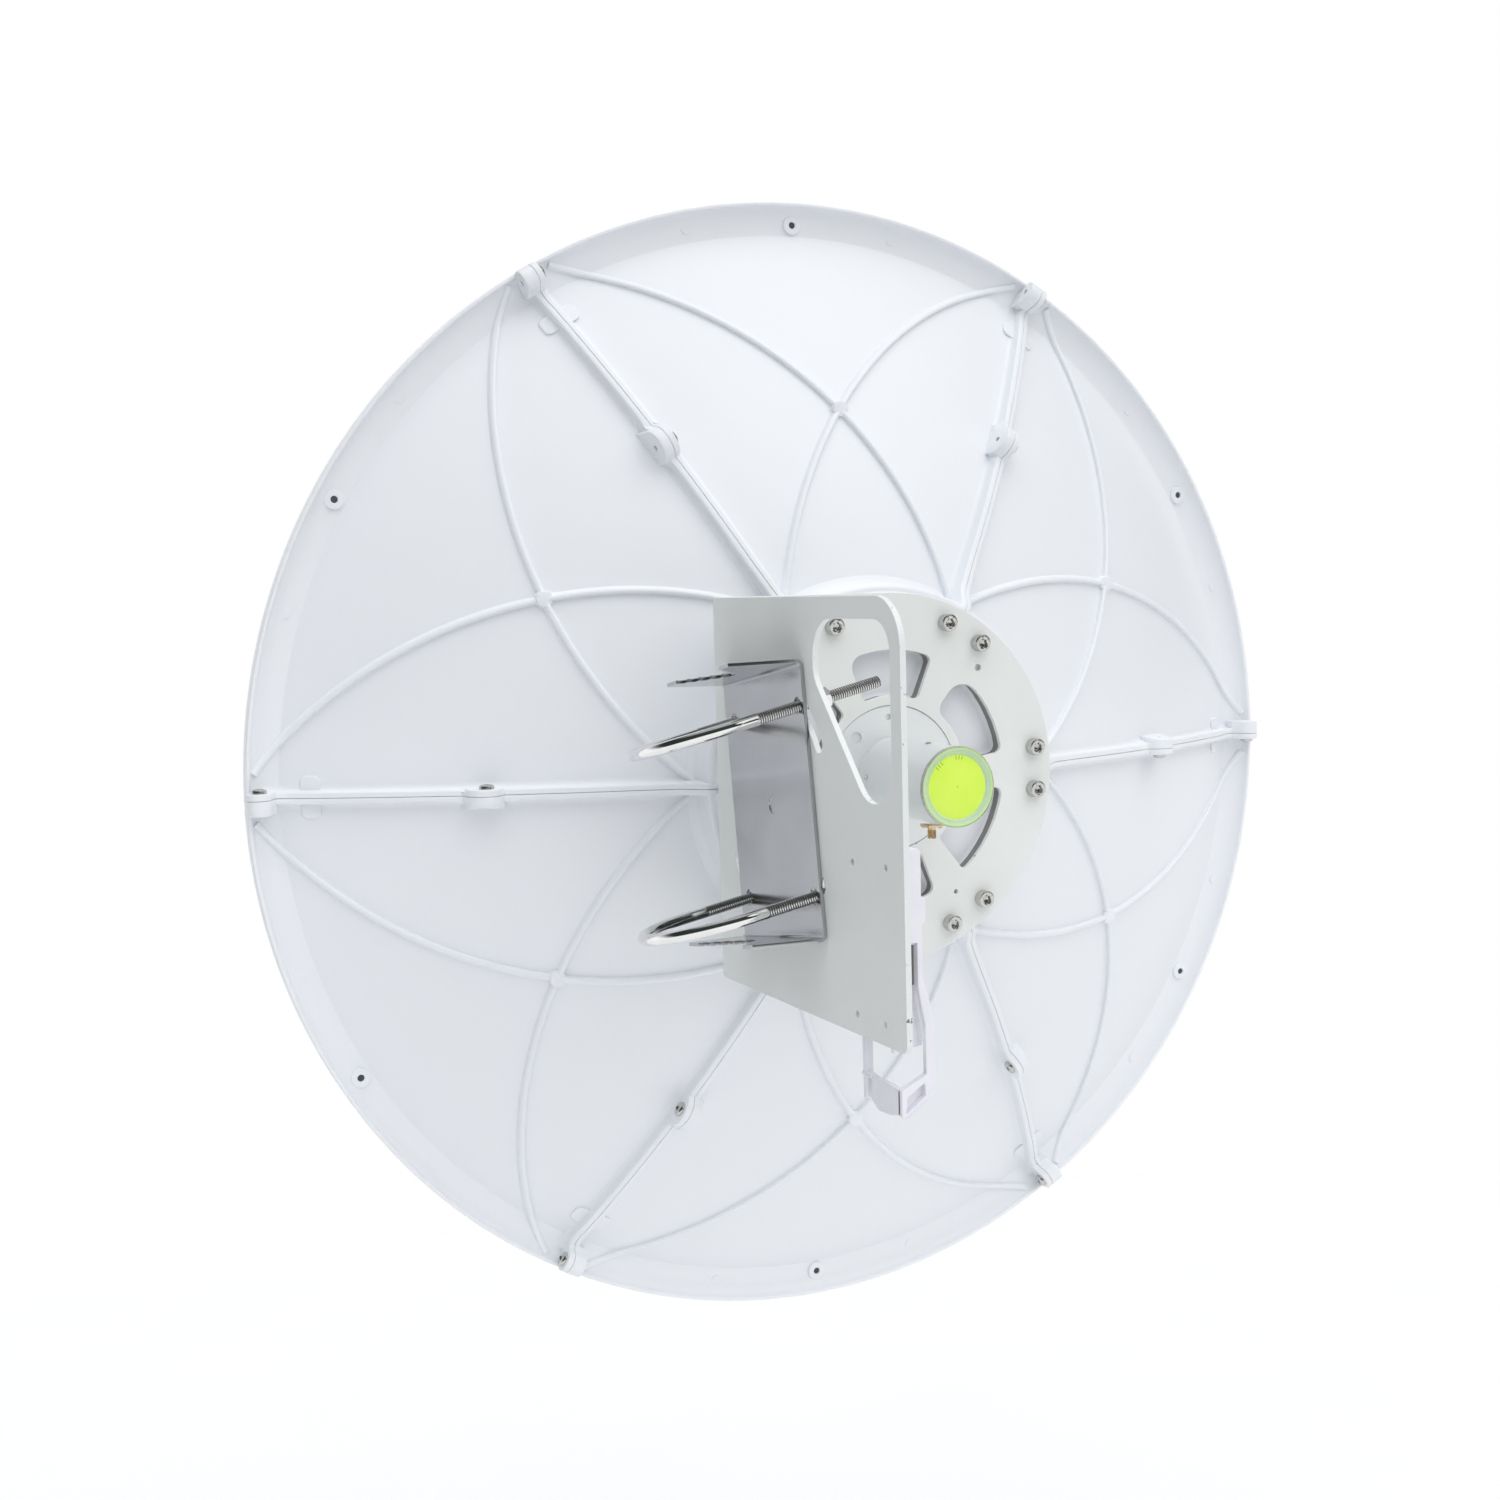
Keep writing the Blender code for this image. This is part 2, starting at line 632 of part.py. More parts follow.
def waveguide_mesh():
    """Tube from the plug to the focus, with a collar at its foot."""
    nose = plug_front()
    collar = WAVEGUIDE_RADIUS + 0.006
    profile = [(0, nose + GAP), (collar, nose + GAP), (collar, nose + 0.008), (WAVEGUIDE_RADIUS, nose + 0.014),
               (WAVEGUIDE_RADIUS, SUB_REFLECTOR_Y - GAP), (0, SUB_REFLECTOR_Y - GAP)]
    return turned(profile, 20)


def sub_reflector_mesh():
    """Moulded head at the focus: a collar that opens to a round lid."""
    y = SUB_REFLECTOR_Y
    deep = SUB_REFLECTOR_DEPTH
    wide = SUB_REFLECTOR_RADIUS
    profile = [(0, y), (0.52 * wide, y), (0.62 * wide, y + 0.29 * deep), (0.92 * wide, y + 0.64 * deep),
               (wide, y + 0.75 * deep), (0.96 * wide, y + 0.89 * deep), (0.60 * wide, y + 0.96 * deep),
               (0, y + deep)]
    return turned(profile, 24)


def connector_mesh():
    """Coaxial socket: a square flange at the origin and a barrel towards -Z."""
    half = CONNECTOR_FLANGE / 2
    flange = prism(rectangle(-half, -half, half, half), -0.002, 0, "Z")
    barrel = prism(circle(CONNECTOR_RADIUS, 12), -CONNECTOR_LENGTH, -0.001, "Z")
    return combined(flange, [barrel], "UNION")


def rectangle(low_a, low_b, high_a, high_b):
    return [(low_a, low_b), (high_a, low_b), (high_a, high_b), (low_a, high_b)]


def radio_holder_mesh():
    """Rail with a snap mouth and a finger loop at its foot, on the side plate's inner face."""
    wall = SIDE_PLATE_X + PLATE + GAP
    face = wall + HOLDER_BLOCK
    outer = wall + HOLDER_WALL_OUT
    inner = outer - HOLDER_WALL
    arm = wall + HOLDER_ARM_OUT
    front, back = HOLDER_FRONT_Y, HOLDER_BACK_Y
    chamfer = 0.003
    rail = prism([(wall, HOLDER_TOP_Z - chamfer), (wall + chamfer, HOLDER_TOP_Z), (face, HOLDER_TOP_Z),
                  (face, HOLDER_SHOULDER_Z), (outer, HOLDER_SHOULDER_Z), (outer, MOUTH_FOOT_Z),
                  (arm, ARM_KNEE_Z), (arm, ARM_FOOT_Z), (arm - HOLDER_WALL, ARM_FOOT_Z),
                  (arm - HOLDER_WALL, ARM_KNEE_Z), (inner, MOUTH_FOOT_Z), (wall, MOUTH_FOOT_Z)],
                 back, front, "Y")
    mouth = prism(rectangle(wall - 0.001, MOUTH_FOOT_Z - 0.001, inner, MOUTH_TOP_Z),
                  back - 0.001, front + 0.001, "Y")
    loop_gap = prism(rectangle(back + LOOP_ARM, LOOP_GAP_FOOT_Z, front - LOOP_ARM, LOOP_GAP_TOP_Z),
                     arm - 0.020, arm + 0.005, "X")
    front_arm = prism(rectangle(wall, FRONT_ARM_FOOT_Z, wall + LOOP_FRONT_ARM, MOUTH_FOOT_Z + 0.002),
                      front - LOOP_ARM, front, "Y")
    bar_top = HOLDER_FOOT_Z + LOOP_BAR_RISE
    belly_centre = ((front + back) / 2, HOLDER_FOOT_Z + BELLY_RADIUS - BELLY_DROP)
    belly = arc(belly_centre, BELLY_RADIUS, 240, 300, 4)
    bar = prism([(back, bar_top)] + belly + [(front, bar_top)], wall, wall + LOOP_BAR, "X")
    foot = prism([(wall, bar_top), (wall, HOLDER_FOOT_Z), (arm, ARM_FOOT_Z),
                  (arm, ARM_FOOT_Z + LOOP_FOOT_RISE)], back, back + LOOP_ARM, "Y")
    body = combined(rail, [mouth, loop_gap], "DIFFERENCE")
    return combined(body, [front_arm, bar, foot], "UNION")


def channel_mesh():
    """Notched clamp channel: web, two toothed flanges and the pivot's pressed button."""
    web = prism(rectangle(-CHANNEL_HALF_WIDTH, -CHANNEL_HALF_HEIGHT, CHANNEL_HALF_WIDTH,
                          CHANNEL_HALF_HEIGHT), 0, CHANNEL_SHEET, "X")
    half = [(CHANNEL_SHEET, CHANNEL_HALF_WIDTH), (-FLANGE_SHOULDER, CHANNEL_HALF_WIDTH),
            (-CHANNEL_DEPTH, PRONG_OUTER_Y), (-CHANNEL_DEPTH, PRONG_INNER_Y)]
    x, y = half[-1]
    for k in range(TEETH):
        x += TOOTH_X
        half.append((x, y))
        if k < TEETH - 1:
            y -= TOOTH_Y
            half.append((x, y))
    outline = half + [(px, -py) for px, py in reversed(half)]
    parts = []
    for side in (1, -1):
        low, high = sorted((side * CHANNEL_HALF_HEIGHT, side * (CHANNEL_HALF_HEIGHT - CHANNEL_SHEET)))
        parts.append(prism(outline, low, high, "Z"))
    parts.append(prism(circle(PIVOT_RADIUS, 20), 0.001, CHANNEL_SHEET + PIVOT_HEIGHT, "X"))
    body = combined(web, parts, "UNION")
    holes = []
    for y_side in (1, -1):
        for z_side in (1, -1):
            centre = (y_side * LEG_Y, z_side * LEG_Z)
            holes.append(prism(circle(LEG_HOLE_RADIUS, 16, centre), -0.001, CHANNEL_SHEET + 0.001, "X"))
    return combined(body, holes, "DIFFERENCE")


def u_bolt(name, height, droop, reach, inner_end, finish):
    """One U-bolt, its legs tipped down on the mast side, as a round bar bent in its own plane."""
    bend_centre = -(reach - ROD_RADIUS - LEG_Y)
    path = [(inner_end, LEG_Y), (0.0, LEG_Y)]
    path += [(bend_centre + x, y) for x, y in arc((0, 0), LEG_Y, 90, 270, 14)]
    path += [(0.0, -LEG_Y), (inner_end, -LEG_Y)]
    curve = bpy.data.curves.new(name, "CURVE")
    curve.dimensions = "3D"
    curve.bevel_depth = ROD_RADIUS
    curve.bevel_resolution = 3
    curve.use_fill_caps = True
    spline = curve.splines.new("POLY")
    spline.points.add(len(path) - 1)
    for point, (x, y) in zip(spline.points, path):
        point.co = (x, y, 0, 1)
    curve.materials.append(finish)
    piece = bpy.data.objects.new(name, curve)
    bpy.context.scene.collection.objects.link(piece)
    piece.matrix_local = leg_frame(height, droop, 0)
    return piece


def leg_frame(height, droop, y):
    """Frame of a U-bolt's leg: origin where it crosses the sheets, +X along the leg, away from the mast."""
    middle = (CHANNEL_SHEET + GAP + PLATE) / 2
    return Matrix.Translation((middle, y, height)) @ Matrix.Rotation(-math.radians(droop), 4, "Y")


def nut_mesh():
    corner = NUT_FLATS / 2 / math.cos(math.pi / 6)
    nut = prism(circle(corner, 6), 0, NUT_HEIGHT, "X")
    bore = prism(circle(ROD_RADIUS + 0.0004, 12), -0.001, NUT_HEIGHT + 0.001, "X")
    return combined(nut, [bore], "DIFFERENCE")


def washer_mesh():
    washer = prism(circle(WASHER_RADIUS, 16), 0, WASHER_HEIGHT, "X")
    bore = prism(circle(ROD_RADIUS + 0.0004, 12), -0.001, WASHER_HEIGHT + 0.001, "X")
    return combined(washer, [bore], "DIFFERENCE")


def build_mast_clamp(steel, bright):
    place("clamp_channel", channel_mesh(), steel, smooth=False)
    nut = nut_mesh()
    washer = washer_mesh()
    for name, height, droop, reach, inner_end in (
        ("upper", LEG_Z, 13.0, 0.101, 0.058), ("lower", -LEG_Z, 11.0, 0.104, 0.055)
    ):
        u_bolt("u_bolt_" + name, height, droop, reach, inner_end, bright)
        for end, y in (("front", LEG_Y), ("rear", -LEG_Y)):
            frame = leg_frame(height, droop, y)
            washer_at = frame @ Matrix.Translation((WASHER_START - 0.0034, 0, 0))
            nut_at = washer_at @ Matrix.Translation((WASHER_HEIGHT + GAP, 0, 0))
            place("washer_" + name + "_" + end, washer, bright, matrix=washer_at, smooth=False)
            place("nut_" + name + "_" + end, nut, bright, matrix=nut_at, smooth=False)


def build_antenna(plastic, paint, steel, silver, green, brass, white):
    axis = bpy.data.objects.new("elevation_axis", None)
    axis.rotation_euler = (math.radians(ELEVATION_AT_REST), 0, 0)
    dish = bpy.data.objects.new("dish_frame", None)
    dish.parent = axis
    dish.location = (AXIS_FROM_PIVOT, RIM_FROM_PIVOT, 0)
    for empty in (axis, dish):
        bpy.context.scene.collection.objects.link(empty)
    panel = panel_mesh()
    for k in range(PANELS):
        place("dish_panel_" + str(k + 1), panel, plastic, dish, about_axis(30 + 60 * k))
    place("mounting_bracket", bracket_mesh(), paint, dish, smooth=False)
    screw = hub_screw_mesh()
    for k in range(2 * PANELS):
        angle = 60 * (k // 2) + (SCREW_OFF_SEAM if k % 2 else -SCREW_OFF_SEAM)
        turn = math.radians(angle)
        at = Matrix.Translation((SCREW_CIRCLE * math.cos(turn), HUB_PLATE_BACK_Y,
                                 SCREW_CIRCLE * math.sin(turn)))
        place("hub_screw_" + str(k + 1), screw, steel, dish, at)
    place("feed_flange", feed_flange_mesh(), silver, dish)
    place("feed_tube", feed_tube_mesh(), silver, dish)
    place("feed_end_cap", feed_end_cap_mesh(), green, dish)
    place("waveguide", waveguide_mesh(), silver, dish)
    place("sub_reflector", sub_reflector_mesh(), white, dish)
    connector = connector_mesh()
    down = Matrix.Translation((0, LOWER_SOCKET_Y, -FEED_TUBE_RADIUS - GAP))
    place("coax_socket_lower", connector, brass, dish, down, smooth=False)
    aside = Matrix.Translation((FEED_TUBE_RADIUS + GAP, SIDE_SOCKET_Y, 0))
    aside = aside @ Matrix.Rotation(-math.pi / 2, 4, "Y")
    place("coax_socket_side", connector, brass, dish, aside, smooth=False)
    place("radio_holder", radio_holder_mesh(), white, dish, smooth=False)


def main():
    clear_scene()
    plastic = material("reflector_plastic", (0.80, 0.83, 0.86), 0.30, 0.0)
    paint = material("powder_coat", (0.66, 0.68, 0.66), 0.45, 0.0)
    steel = material("stainless_sheet", (0.56, 0.56, 0.57), 0.32, 1.0)
    bright = material("polished_stainless", (0.70, 0.70, 0.70), 0.12, 1.0)
    silver = material("silver_paint", (0.63, 0.66, 0.68), 0.40, 0.6)
    green = material("green_cap", (0.62, 0.95, 0.12), 0.40, 0.0)
    brass = material("gilt_brass", (0.72, 0.56, 0.28), 0.25, 1.0)
    white = material("white_plastic", (0.84, 0.85, 0.90), 0.35, 0.0)
    build_mast_clamp(steel, bright)
    build_antenna(plastic, paint, bright, silver, green, brass, white)


main()
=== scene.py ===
"""Dressed scene of the panelled dish antenna on its mast clamp.

Lengths are in metres, and in millimetres in the tables that mm() reads. The antenna's pieces are made in
the dish frame (origin on the dish's axis in the plane of the rim's edge, +Y the way the dish looks) and
moved to the row frame before they are stored, so every object sits at the origin.
"""
import math

import bmesh
import bpy
from mathutils import Matrix, Vector


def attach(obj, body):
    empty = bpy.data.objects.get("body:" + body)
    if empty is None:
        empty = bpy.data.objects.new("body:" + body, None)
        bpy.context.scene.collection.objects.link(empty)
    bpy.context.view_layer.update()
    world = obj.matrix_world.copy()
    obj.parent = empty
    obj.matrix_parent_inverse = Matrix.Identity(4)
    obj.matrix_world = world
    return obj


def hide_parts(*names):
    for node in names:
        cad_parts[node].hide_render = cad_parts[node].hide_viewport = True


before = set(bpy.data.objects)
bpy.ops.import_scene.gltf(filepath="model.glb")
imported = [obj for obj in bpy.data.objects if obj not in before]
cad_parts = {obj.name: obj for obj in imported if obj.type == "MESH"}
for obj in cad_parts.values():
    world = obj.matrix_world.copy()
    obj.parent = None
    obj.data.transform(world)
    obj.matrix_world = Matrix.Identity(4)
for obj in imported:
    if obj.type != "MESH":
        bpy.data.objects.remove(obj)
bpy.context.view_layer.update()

ELEVATION = math.radians(8.8)
DISH = Matrix.Rotation(ELEVATION, 4, "X") @ Matrix.Translation((0.1443, 0.250, 0))
Y_TO_X = Matrix.Rotation(-math.pi / 2, 4, "Z")
PANELS = 6
PANEL_TURN = 360 / PANELS
HALF_PANEL = math.pi / PANELS
VERTEX_Y = -0.1296
FOCAL_LENGTH = 0.3265
SEAM = 0.00015
SKIN = 0.003
CREASE = 0.425
BAND_CENTRE = 0.431
BAND_WIDTH = 0.016
BAND_DEPTH = 0.0092
HUB_TOP = -0.1437
PLATE_BACK = -0.148
PLATE_FRONT = -0.144
LEG_SPAN = 0.053
LEG_HEIGHT = 0.061
LEG_HOLES = [(y * LEG_SPAN, z * LEG_HEIGHT) for y in (1, -1) for z in (1, -1)]


# Mesh tools

def mm(points, a=0.0, b=0.0):
    """Points given in millimetres as points in metres, moved by (a, b); a third number is a radius."""
    return [(a + x / 1000, b + y / 1000, *(radius / 1000 for radius in rest)) for x, y, *rest in points]


def polar(radius, turn):
    """The place at a radius and an angle in degrees."""
    turn = math.radians(turn)
    return (radius * math.cos(turn), radius * math.sin(turn))


def store(name, bm, finishes, body, nodes=(), matrix=DISH, sharp=30, flat=False):
    """Turns a bmesh into a piece that rides on a body and stands for CAD nodes."""
    bm.transform(matrix)
    bmesh.ops.recalc_face_normals(bm, faces=bm.faces)
    mesh = bpy.data.meshes.new(name)
    bm.to_mesh(mesh)
    bm.free()
    for finish in finishes if isinstance(finishes, (list, tuple)) else [finishes]:
        mesh.materials.append(finish)
    mesh.shade_smooth()
    mesh.set_sharp_from_angle(angle=math.radians(sharp))
    piece = bpy.data.objects.new(name, mesh)
    bpy.context.scene.collection.objects.link(piece)
    if flat:
        weigh = piece.modifiers.new("weigh", "WEIGHTED_NORMAL")
        weigh.keep_sharp = True
    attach(piece, body)
    if nodes:
        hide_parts(*nodes)
    return piece


def absorb(bm, other, matrix=Matrix.Identity(4), index=None):
    """Adds another bmesh to bm and frees it."""
    other.transform(matrix)
    if index is not None:
        for face in other.faces:
            face.material_index = index
    mesh = bpy.data.meshes.new("part")
    other.to_mesh(mesh)
    other.free()
    bm.from_mesh(mesh)
    bpy.data.meshes.remove(mesh)


def loft(bm, rings, ends=True, around=True):
    """Skins rings of points, one after the other; closes the two ends, and each ring unless it is a line."""
    rows = [[bm.verts.new(point) for point in ring] for ring in rings]
    count = len(rows[0])
    for first, second in zip(rows, rows[1:]):
        for j in range(count if around else count - 1):
            k = (j + 1) % count
            bm.faces.new((first[j], first[k], second[k], second[j]))
    if ends:
        bm.faces.new(rows[0])
        bm.faces.new(rows[-1])
    return rows


def join_ends(bm, rows):
    """Merges the last row of a loft with the first, which lies in the same place."""
    bmesh.ops.remove_doubles(bm, verts=rows[0] + rows[-1], dist=1e-7)


def turned(profile, sides, bm=None, closed=False, index=0):
    """Turns (radius, y) points about Y; a radius of 0 closes the form there."""
    bm = bm or bmesh.new()
    rings = []
    for radius, y in profile:
        if radius < 1e-6:
            rings.append([bm.verts.new((0, y, 0))])
            continue
        rings.append([bm.verts.new((x, y, z)) for x, z in circle(radius, sides=sides)])
    pairs = list(zip(rings, rings[1:]))
    if closed:
        pairs.append((rings[-1], rings[0]))
    for inner, outer in pairs:
        for k in range(sides):
            m = (k + 1) % sides
            if len(inner) == 1:
                face = bm.faces.new((inner[0], outer[k], outer[m]))
            elif len(outer) == 1:
                face = bm.faces.new((inner[k], outer[0], inner[m]))
            else:
                face = bm.faces.new((inner[k], outer[k], outer[m], inner[m]))
            face.material_index = index
    return bm


def arc(centre, radius, first, last, steps):
    """Points on a circle from one angle to another, in degrees."""
    spokes = [polar(radius, mix(first, last, k / steps)) for k in range(steps + 1)]
    return [(centre[0] + a, centre[1] + b) for a, b in spokes]


def circle(radius, centre=(0.0, 0.0), sides=32):
    return arc(centre, radius, 0, 360, sides)[:-1]


def rounded(corners, steps=6):
    """Rounds the corners of an outline; each corner is (a, b, radius)."""
    points = []
    count = len(corners)
    for i, (a, b, radius) in enumerate(corners):
        here = Vector((a, b))
        if radius == 0:
            points.append((a, b))
            continue
        before = (Vector(corners[i - 1][:2]) - here).normalized()
        after = (Vector(corners[(i + 1) % count][:2]) - here).normalized()
        half = before.angle(after) / 2
        centre = here + (before + after).normalized() * radius / math.sin(half)
        start = here + before * radius / math.tan(half) - centre
        end = here + after * radius / math.tan(half) - centre
        turn = start.angle_signed(end)
        for k in range(steps + 1):
            spoke = start.copy()
            spoke.rotate(Matrix.Rotation(-turn * k / steps, 2))
            points.append(tuple(centre + spoke))
    return points


def area(points):
    """Area inside an outline, positive when it runs anticlockwise."""
    return sum(a[0] * b[1] - b[0] * a[1] for a, b in zip(points, points[1:] + points[:1])) / 2


def blank(outline, holes, low, high, edge, steps=1):
    """A flat plate with rounded edges; outline and holes are (a, b) points, its vertices (a, b, depth)."""
    curve = bpy.data.curves.new("blank", "CURVE")
    curve.dimensions = "2D"
    curve.fill_mode = "BOTH"
    curve.extrude = (high - low) / 2 - edge
    curve.bevel_depth = edge
    curve.bevel_resolution = steps
    curve.offset = -edge
    for k, points in enumerate([outline] + list(holes)):
        points = list(points)
        if (area(points) > 0) != (k == 0):
            points.reverse()
        spline = curve.splines.new("POLY")
        spline.points.add(len(points) - 1)
        for point, (a, b) in zip(spline.points, points):
            point.co = (a, b, 0, 1)
        spline.use_cyclic_u = True
    holder = bpy.data.objects.new("blank", curve)
    bpy.context.scene.collection.objects.link(holder)
    graph = bpy.context.evaluated_depsgraph_get()
    mesh = bpy.data.meshes.new_from_object(holder.evaluated_get(graph))
    bpy.data.objects.remove(holder)
    bpy.data.curves.remove(curve)
    bm = bmesh.new()
    bm.from_mesh(mesh)
    bpy.data.meshes.remove(mesh)
    bmesh.ops.remove_doubles(bm, verts=bm.verts, dist=2e-6)
    for vertex in bm.verts:
        vertex.co.z += (low + high) / 2
    return bm


def reshaped(bm, rule):
    """Moves every vertex to where the rule puts its (a, b, depth)."""
    for vertex in bm.verts:
        vertex.co = rule(*vertex.co)
    return bm


def plate(outline, holes, low, high, axis, edge, steps=1):
    """A blank stood up so that its depth runs along X, Y or Z, its outline's axes in the order x, y, z."""
    rules = {
        "X": lambda a, b, depth: (depth, a, b),
        "Y": lambda a, b, depth: (a, depth, b),
        "Z": lambda a, b, depth: (a, b, depth),
    }
    return reshaped(blank(outline, holes, low, high, edge, steps), rules[axis])


def smooth(low, high, value):
    t = min(max((value - low) / (high - low), 0.0), 1.0)
    return t * t * (3 - 2 * t)


def mix(a, b, share):
    return a + (b - a) * share


# Finishes

class Nodes:
    """Adds nodes to the node tree of a material or a world."""

    def __init__(self, owner):
        owner.use_nodes = True
        self.made = owner
        self.nodes = owner.node_tree.nodes
        self.links = owner.node_tree.links

    def span(self, value, low, high, first=0.0, last=1.0, interpolation="LINEAR"):
        """Maps the part of a value between low and high to first and last."""
        node = self.nodes.new("ShaderNodeMapRange")
        node.interpolation_type = interpolation
        for label, number in (("From Min", low), ("From Max", high), ("To Min", first), ("To Max", last)):
            node.inputs[label].default_value = number
        self.links.new(value, node.inputs["Value"])
        return node.outputs["Result"]

    def tint(self, factor, first, second):
        """Colour between two others; either may be another node's colour."""
        node = self.nodes.new("ShaderNodeMix")
        node.data_type = "RGBA"
        sockets = [s for s in node.inputs if s.type == "RGBA"]
        for socket, colour in zip(sockets, (first, second)):
            if isinstance(colour, tuple):
                socket.default_value = (*colour, 1)
            else:
                self.links.new(colour, socket)
        self.links.new(factor, node.inputs["Factor"])
        return [s for s in node.outputs if s.type == "RGBA"][0]

    def operate(self, operation, first, second=None, kind="ShaderNodeMath"):
        """Result of a mathematical node on an output and on a number, a tuple or another output."""
        node = self.nodes.new(kind)
        node.operation = operation
        self.links.new(first, node.inputs[0])
        if isinstance(second, (tuple, float)):
            node.inputs[1].default_value = second
        elif second is not None:
            self.links.new(second, node.inputs[1])
        return node.outputs["Value"] if operation == "DOT_PRODUCT" else node.outputs[0]


class Finish(Nodes):
    """Builds one procedural material from object coordinates."""

    def __init__(self, name, colour, roughness, metallic=0.0):
        super().__init__(bpy.data.materials.new(name))
        self.shader = self.nodes["Principled BSDF"]
        self.shader.inputs["Base Color"].default_value = (*colour, 1)
        self.shader.inputs["Roughness"].default_value = roughness
        self.shader.inputs["Metallic"].default_value = metallic
        self.coordinates = self.nodes.new("ShaderNodeTexCoord")

    def noise(self, scale, detail=2.0, stretch=(1, 1, 1), rough=0.5):
        """Value of a noise texture, stretched along the object's axes."""
        mapping = self.nodes.new("ShaderNodeMapping")
        mapping.inputs["Scale"].default_value = stretch
        self.links.new(self.coordinates.outputs["Object"], mapping.inputs["Vector"])
        noise = self.nodes.new("ShaderNodeTexNoise")
        for label, number in (("Scale", scale), ("Detail", detail), ("Roughness", rough)):
            noise.inputs[label].default_value = number
        self.links.new(mapping.outputs["Vector"], noise.inputs["Vector"])
        return noise.outputs["Fac"]

    def colour(self, value):
        self.links.new(value, self.shader.inputs["Base Color"])

    def roughness(self, value):
        self.links.new(value, self.shader.inputs["Roughness"])

    def bump(self, *layers):
        """Bumps in series; each layer is (height, strength, distance)."""
        last = None
        for height, strength, distance in layers:
            node = self.nodes.new("ShaderNodeBump")
            node.inputs["Strength"].default_value = strength
            node.inputs["Distance"].default_value = distance
            self.links.new(height, node.inputs["Height"])
            if last:
                self.links.new(last, node.inputs["Normal"])
            last = node.outputs["Normal"]
        self.links.new(last, self.shader.inputs["Normal"])


def mottled(name, tones, patches, roughness, grain, metallic=0.0, bump=None, window=(0.3, 0.7)):
    """Finish that drifts between two close colours and between two roughnesses.

    patches and grain are what noise() is given for the one and for the other; bump is a noise's scale and
    detail, the bump's strength and its distance. The colours change over the window of the noise's values.
    """
    middle = tuple((a + b) / 2 for a, b in zip(*tones))
    f = Finish(name, middle, sum(roughness) / 2, metallic)
    f.colour(f.tint(f.span(f.noise(*patches), *window), *tones))
    f.roughness(f.span(f.noise(*grain), 0.3, 0.7, *roughness))
    if bump:
        scale, detail, strength, distance = bump
        f.bump((f.noise(scale, detail), strength, distance))
    return f.made


def moulded(name, first, second, roughness):
    """Plain moulded plastic between two close colours."""
    return mottled(name, (first, second), (60.0, 3.0), (roughness - 0.05, roughness + 0.08), (120.0, 3.0),
                   bump=(1200.0, 2.0, 0.08, 0.0001))


def powder_coat():
    """Satin powder coat with orange peel, paler on cut edges, with a few dark chips there."""
    f = Finish("powder_coat", (0.785, 0.81, 0.79), 0.42)
    cloud = f.span(f.noise(14.0, 3.0), 0.3, 0.7)
    body = f.tint(cloud, (0.77, 0.795, 0.775), (0.80, 0.825, 0.805))
    attribute = f.nodes.new("ShaderNodeAttribute")
    attribute.attribute_name = "cut"
    edge = attribute.outputs["Fac"]
    body = f.tint(edge, body, (0.80, 0.83, 0.83))
    chips = f.operate("MULTIPLY", f.span(f.noise(160.0, 3.0, (1, 1, 1), 0.6), 0.66, 0.70), edge)
    f.colour(f.tint(chips, body, (0.16, 0.15, 0.14)))
    f.roughness(f.span(f.noise(60.0, 3.0), 0.3, 0.7, 0.36, 0.50))
    f.bump((f.noise(900.0, 2.0), 0.18, 0.0002))
    return f.made


def steel_sheet():
    """Satin stainless sheet, its fine drawn lines along the mast."""
    f = Finish("stainless_sheet", (0.505, 0.505, 0.515), 0.17, 1.0)
    lines = f.noise(60.0, 4.0, (60, 60, 1.2), 0.6)
    cloud = f.span(f.noise(22.0, 3.0), 0.3, 0.7)
    f.colour(f.tint(cloud, (0.48, 0.48, 0.49), (0.53, 0.53, 0.54)))
    f.roughness(f.span(lines, 0.25, 0.75, 0.13, 0.21))
    f.bump((lines, 0.03, 0.0001), (f.noise(18.0, 1.0), 0.05, 0.0006))
    return f.made


PLASTIC = mottled("reflector_plastic", ((0.84, 0.865, 0.90), (0.845, 0.87, 0.905)), (4.0, 1.0),
                  (0.28, 0.33), (9.0, 2.0), bump=(900.0, 1.0, 0.03, 0.00005))
PAINT = powder_coat()
SHEET = steel_sheet()
BRIGHT = mottled("polished_stainless", ((0.77, 0.77, 0.76), (0.83, 0.83, 0.82)), (90.0, 2.0),
                 (0.05, 0.11), (40.0, 3.0, (1.0, 14, 14), 0.6), 1.0, (300.0, 2.0, 0.03, 0.0001))
SATIN = mottled("satin_stainless", ((0.53, 0.53, 0.51), (0.60, 0.60, 0.58)), (120.0, 2.0),
                (0.18, 0.28), (500.0, 2.0), 1.0, (900.0, 2.0, 0.04, 0.0001))
# Dark metal as painted shade and painted dark reflection in the U-bolts' thread grooves
THREAD_SHADE = mottled("thread_groove", ((0.16, 0.16, 0.155), (0.24, 0.24, 0.23)), (300.0, 2.0),
                 (0.30, 0.42), (500.0, 2.0), 1.0)
GILT = mottled("gilt_brass", ((0.60, 0.46, 0.27), (0.72, 0.58, 0.38)), (400.0, 2.0),
               (0.10, 0.20), (250.0, 3.0), 1.0)
SILVER = mottled("silver_paint", ((0.76, 0.79, 0.80), (0.80, 0.83, 0.84)), (2400.0, 2.0),
                 (0.30, 0.38), (50.0, 3.0), 0.35, (700.0, 2.0, 0.05, 0.0001), (0.35, 0.65))
GREEN = moulded("green_cap", (0.69, 0.96, 0.085), (0.73, 0.98, 0.11), 0.42)
GREEN_RIM = moulded("green_rim", (0.56, 0.86, 0.26), (0.60, 0.90, 0.30), 0.35)
PALE_RING = moulded("pale_ring", (0.52, 0.69, 0.50), (0.56, 0.73, 0.54), 0.30)
GREEN_MARK = moulded("green_mark", (0.22, 0.40, 0.05), (0.25, 0.44, 0.06), 0.45)
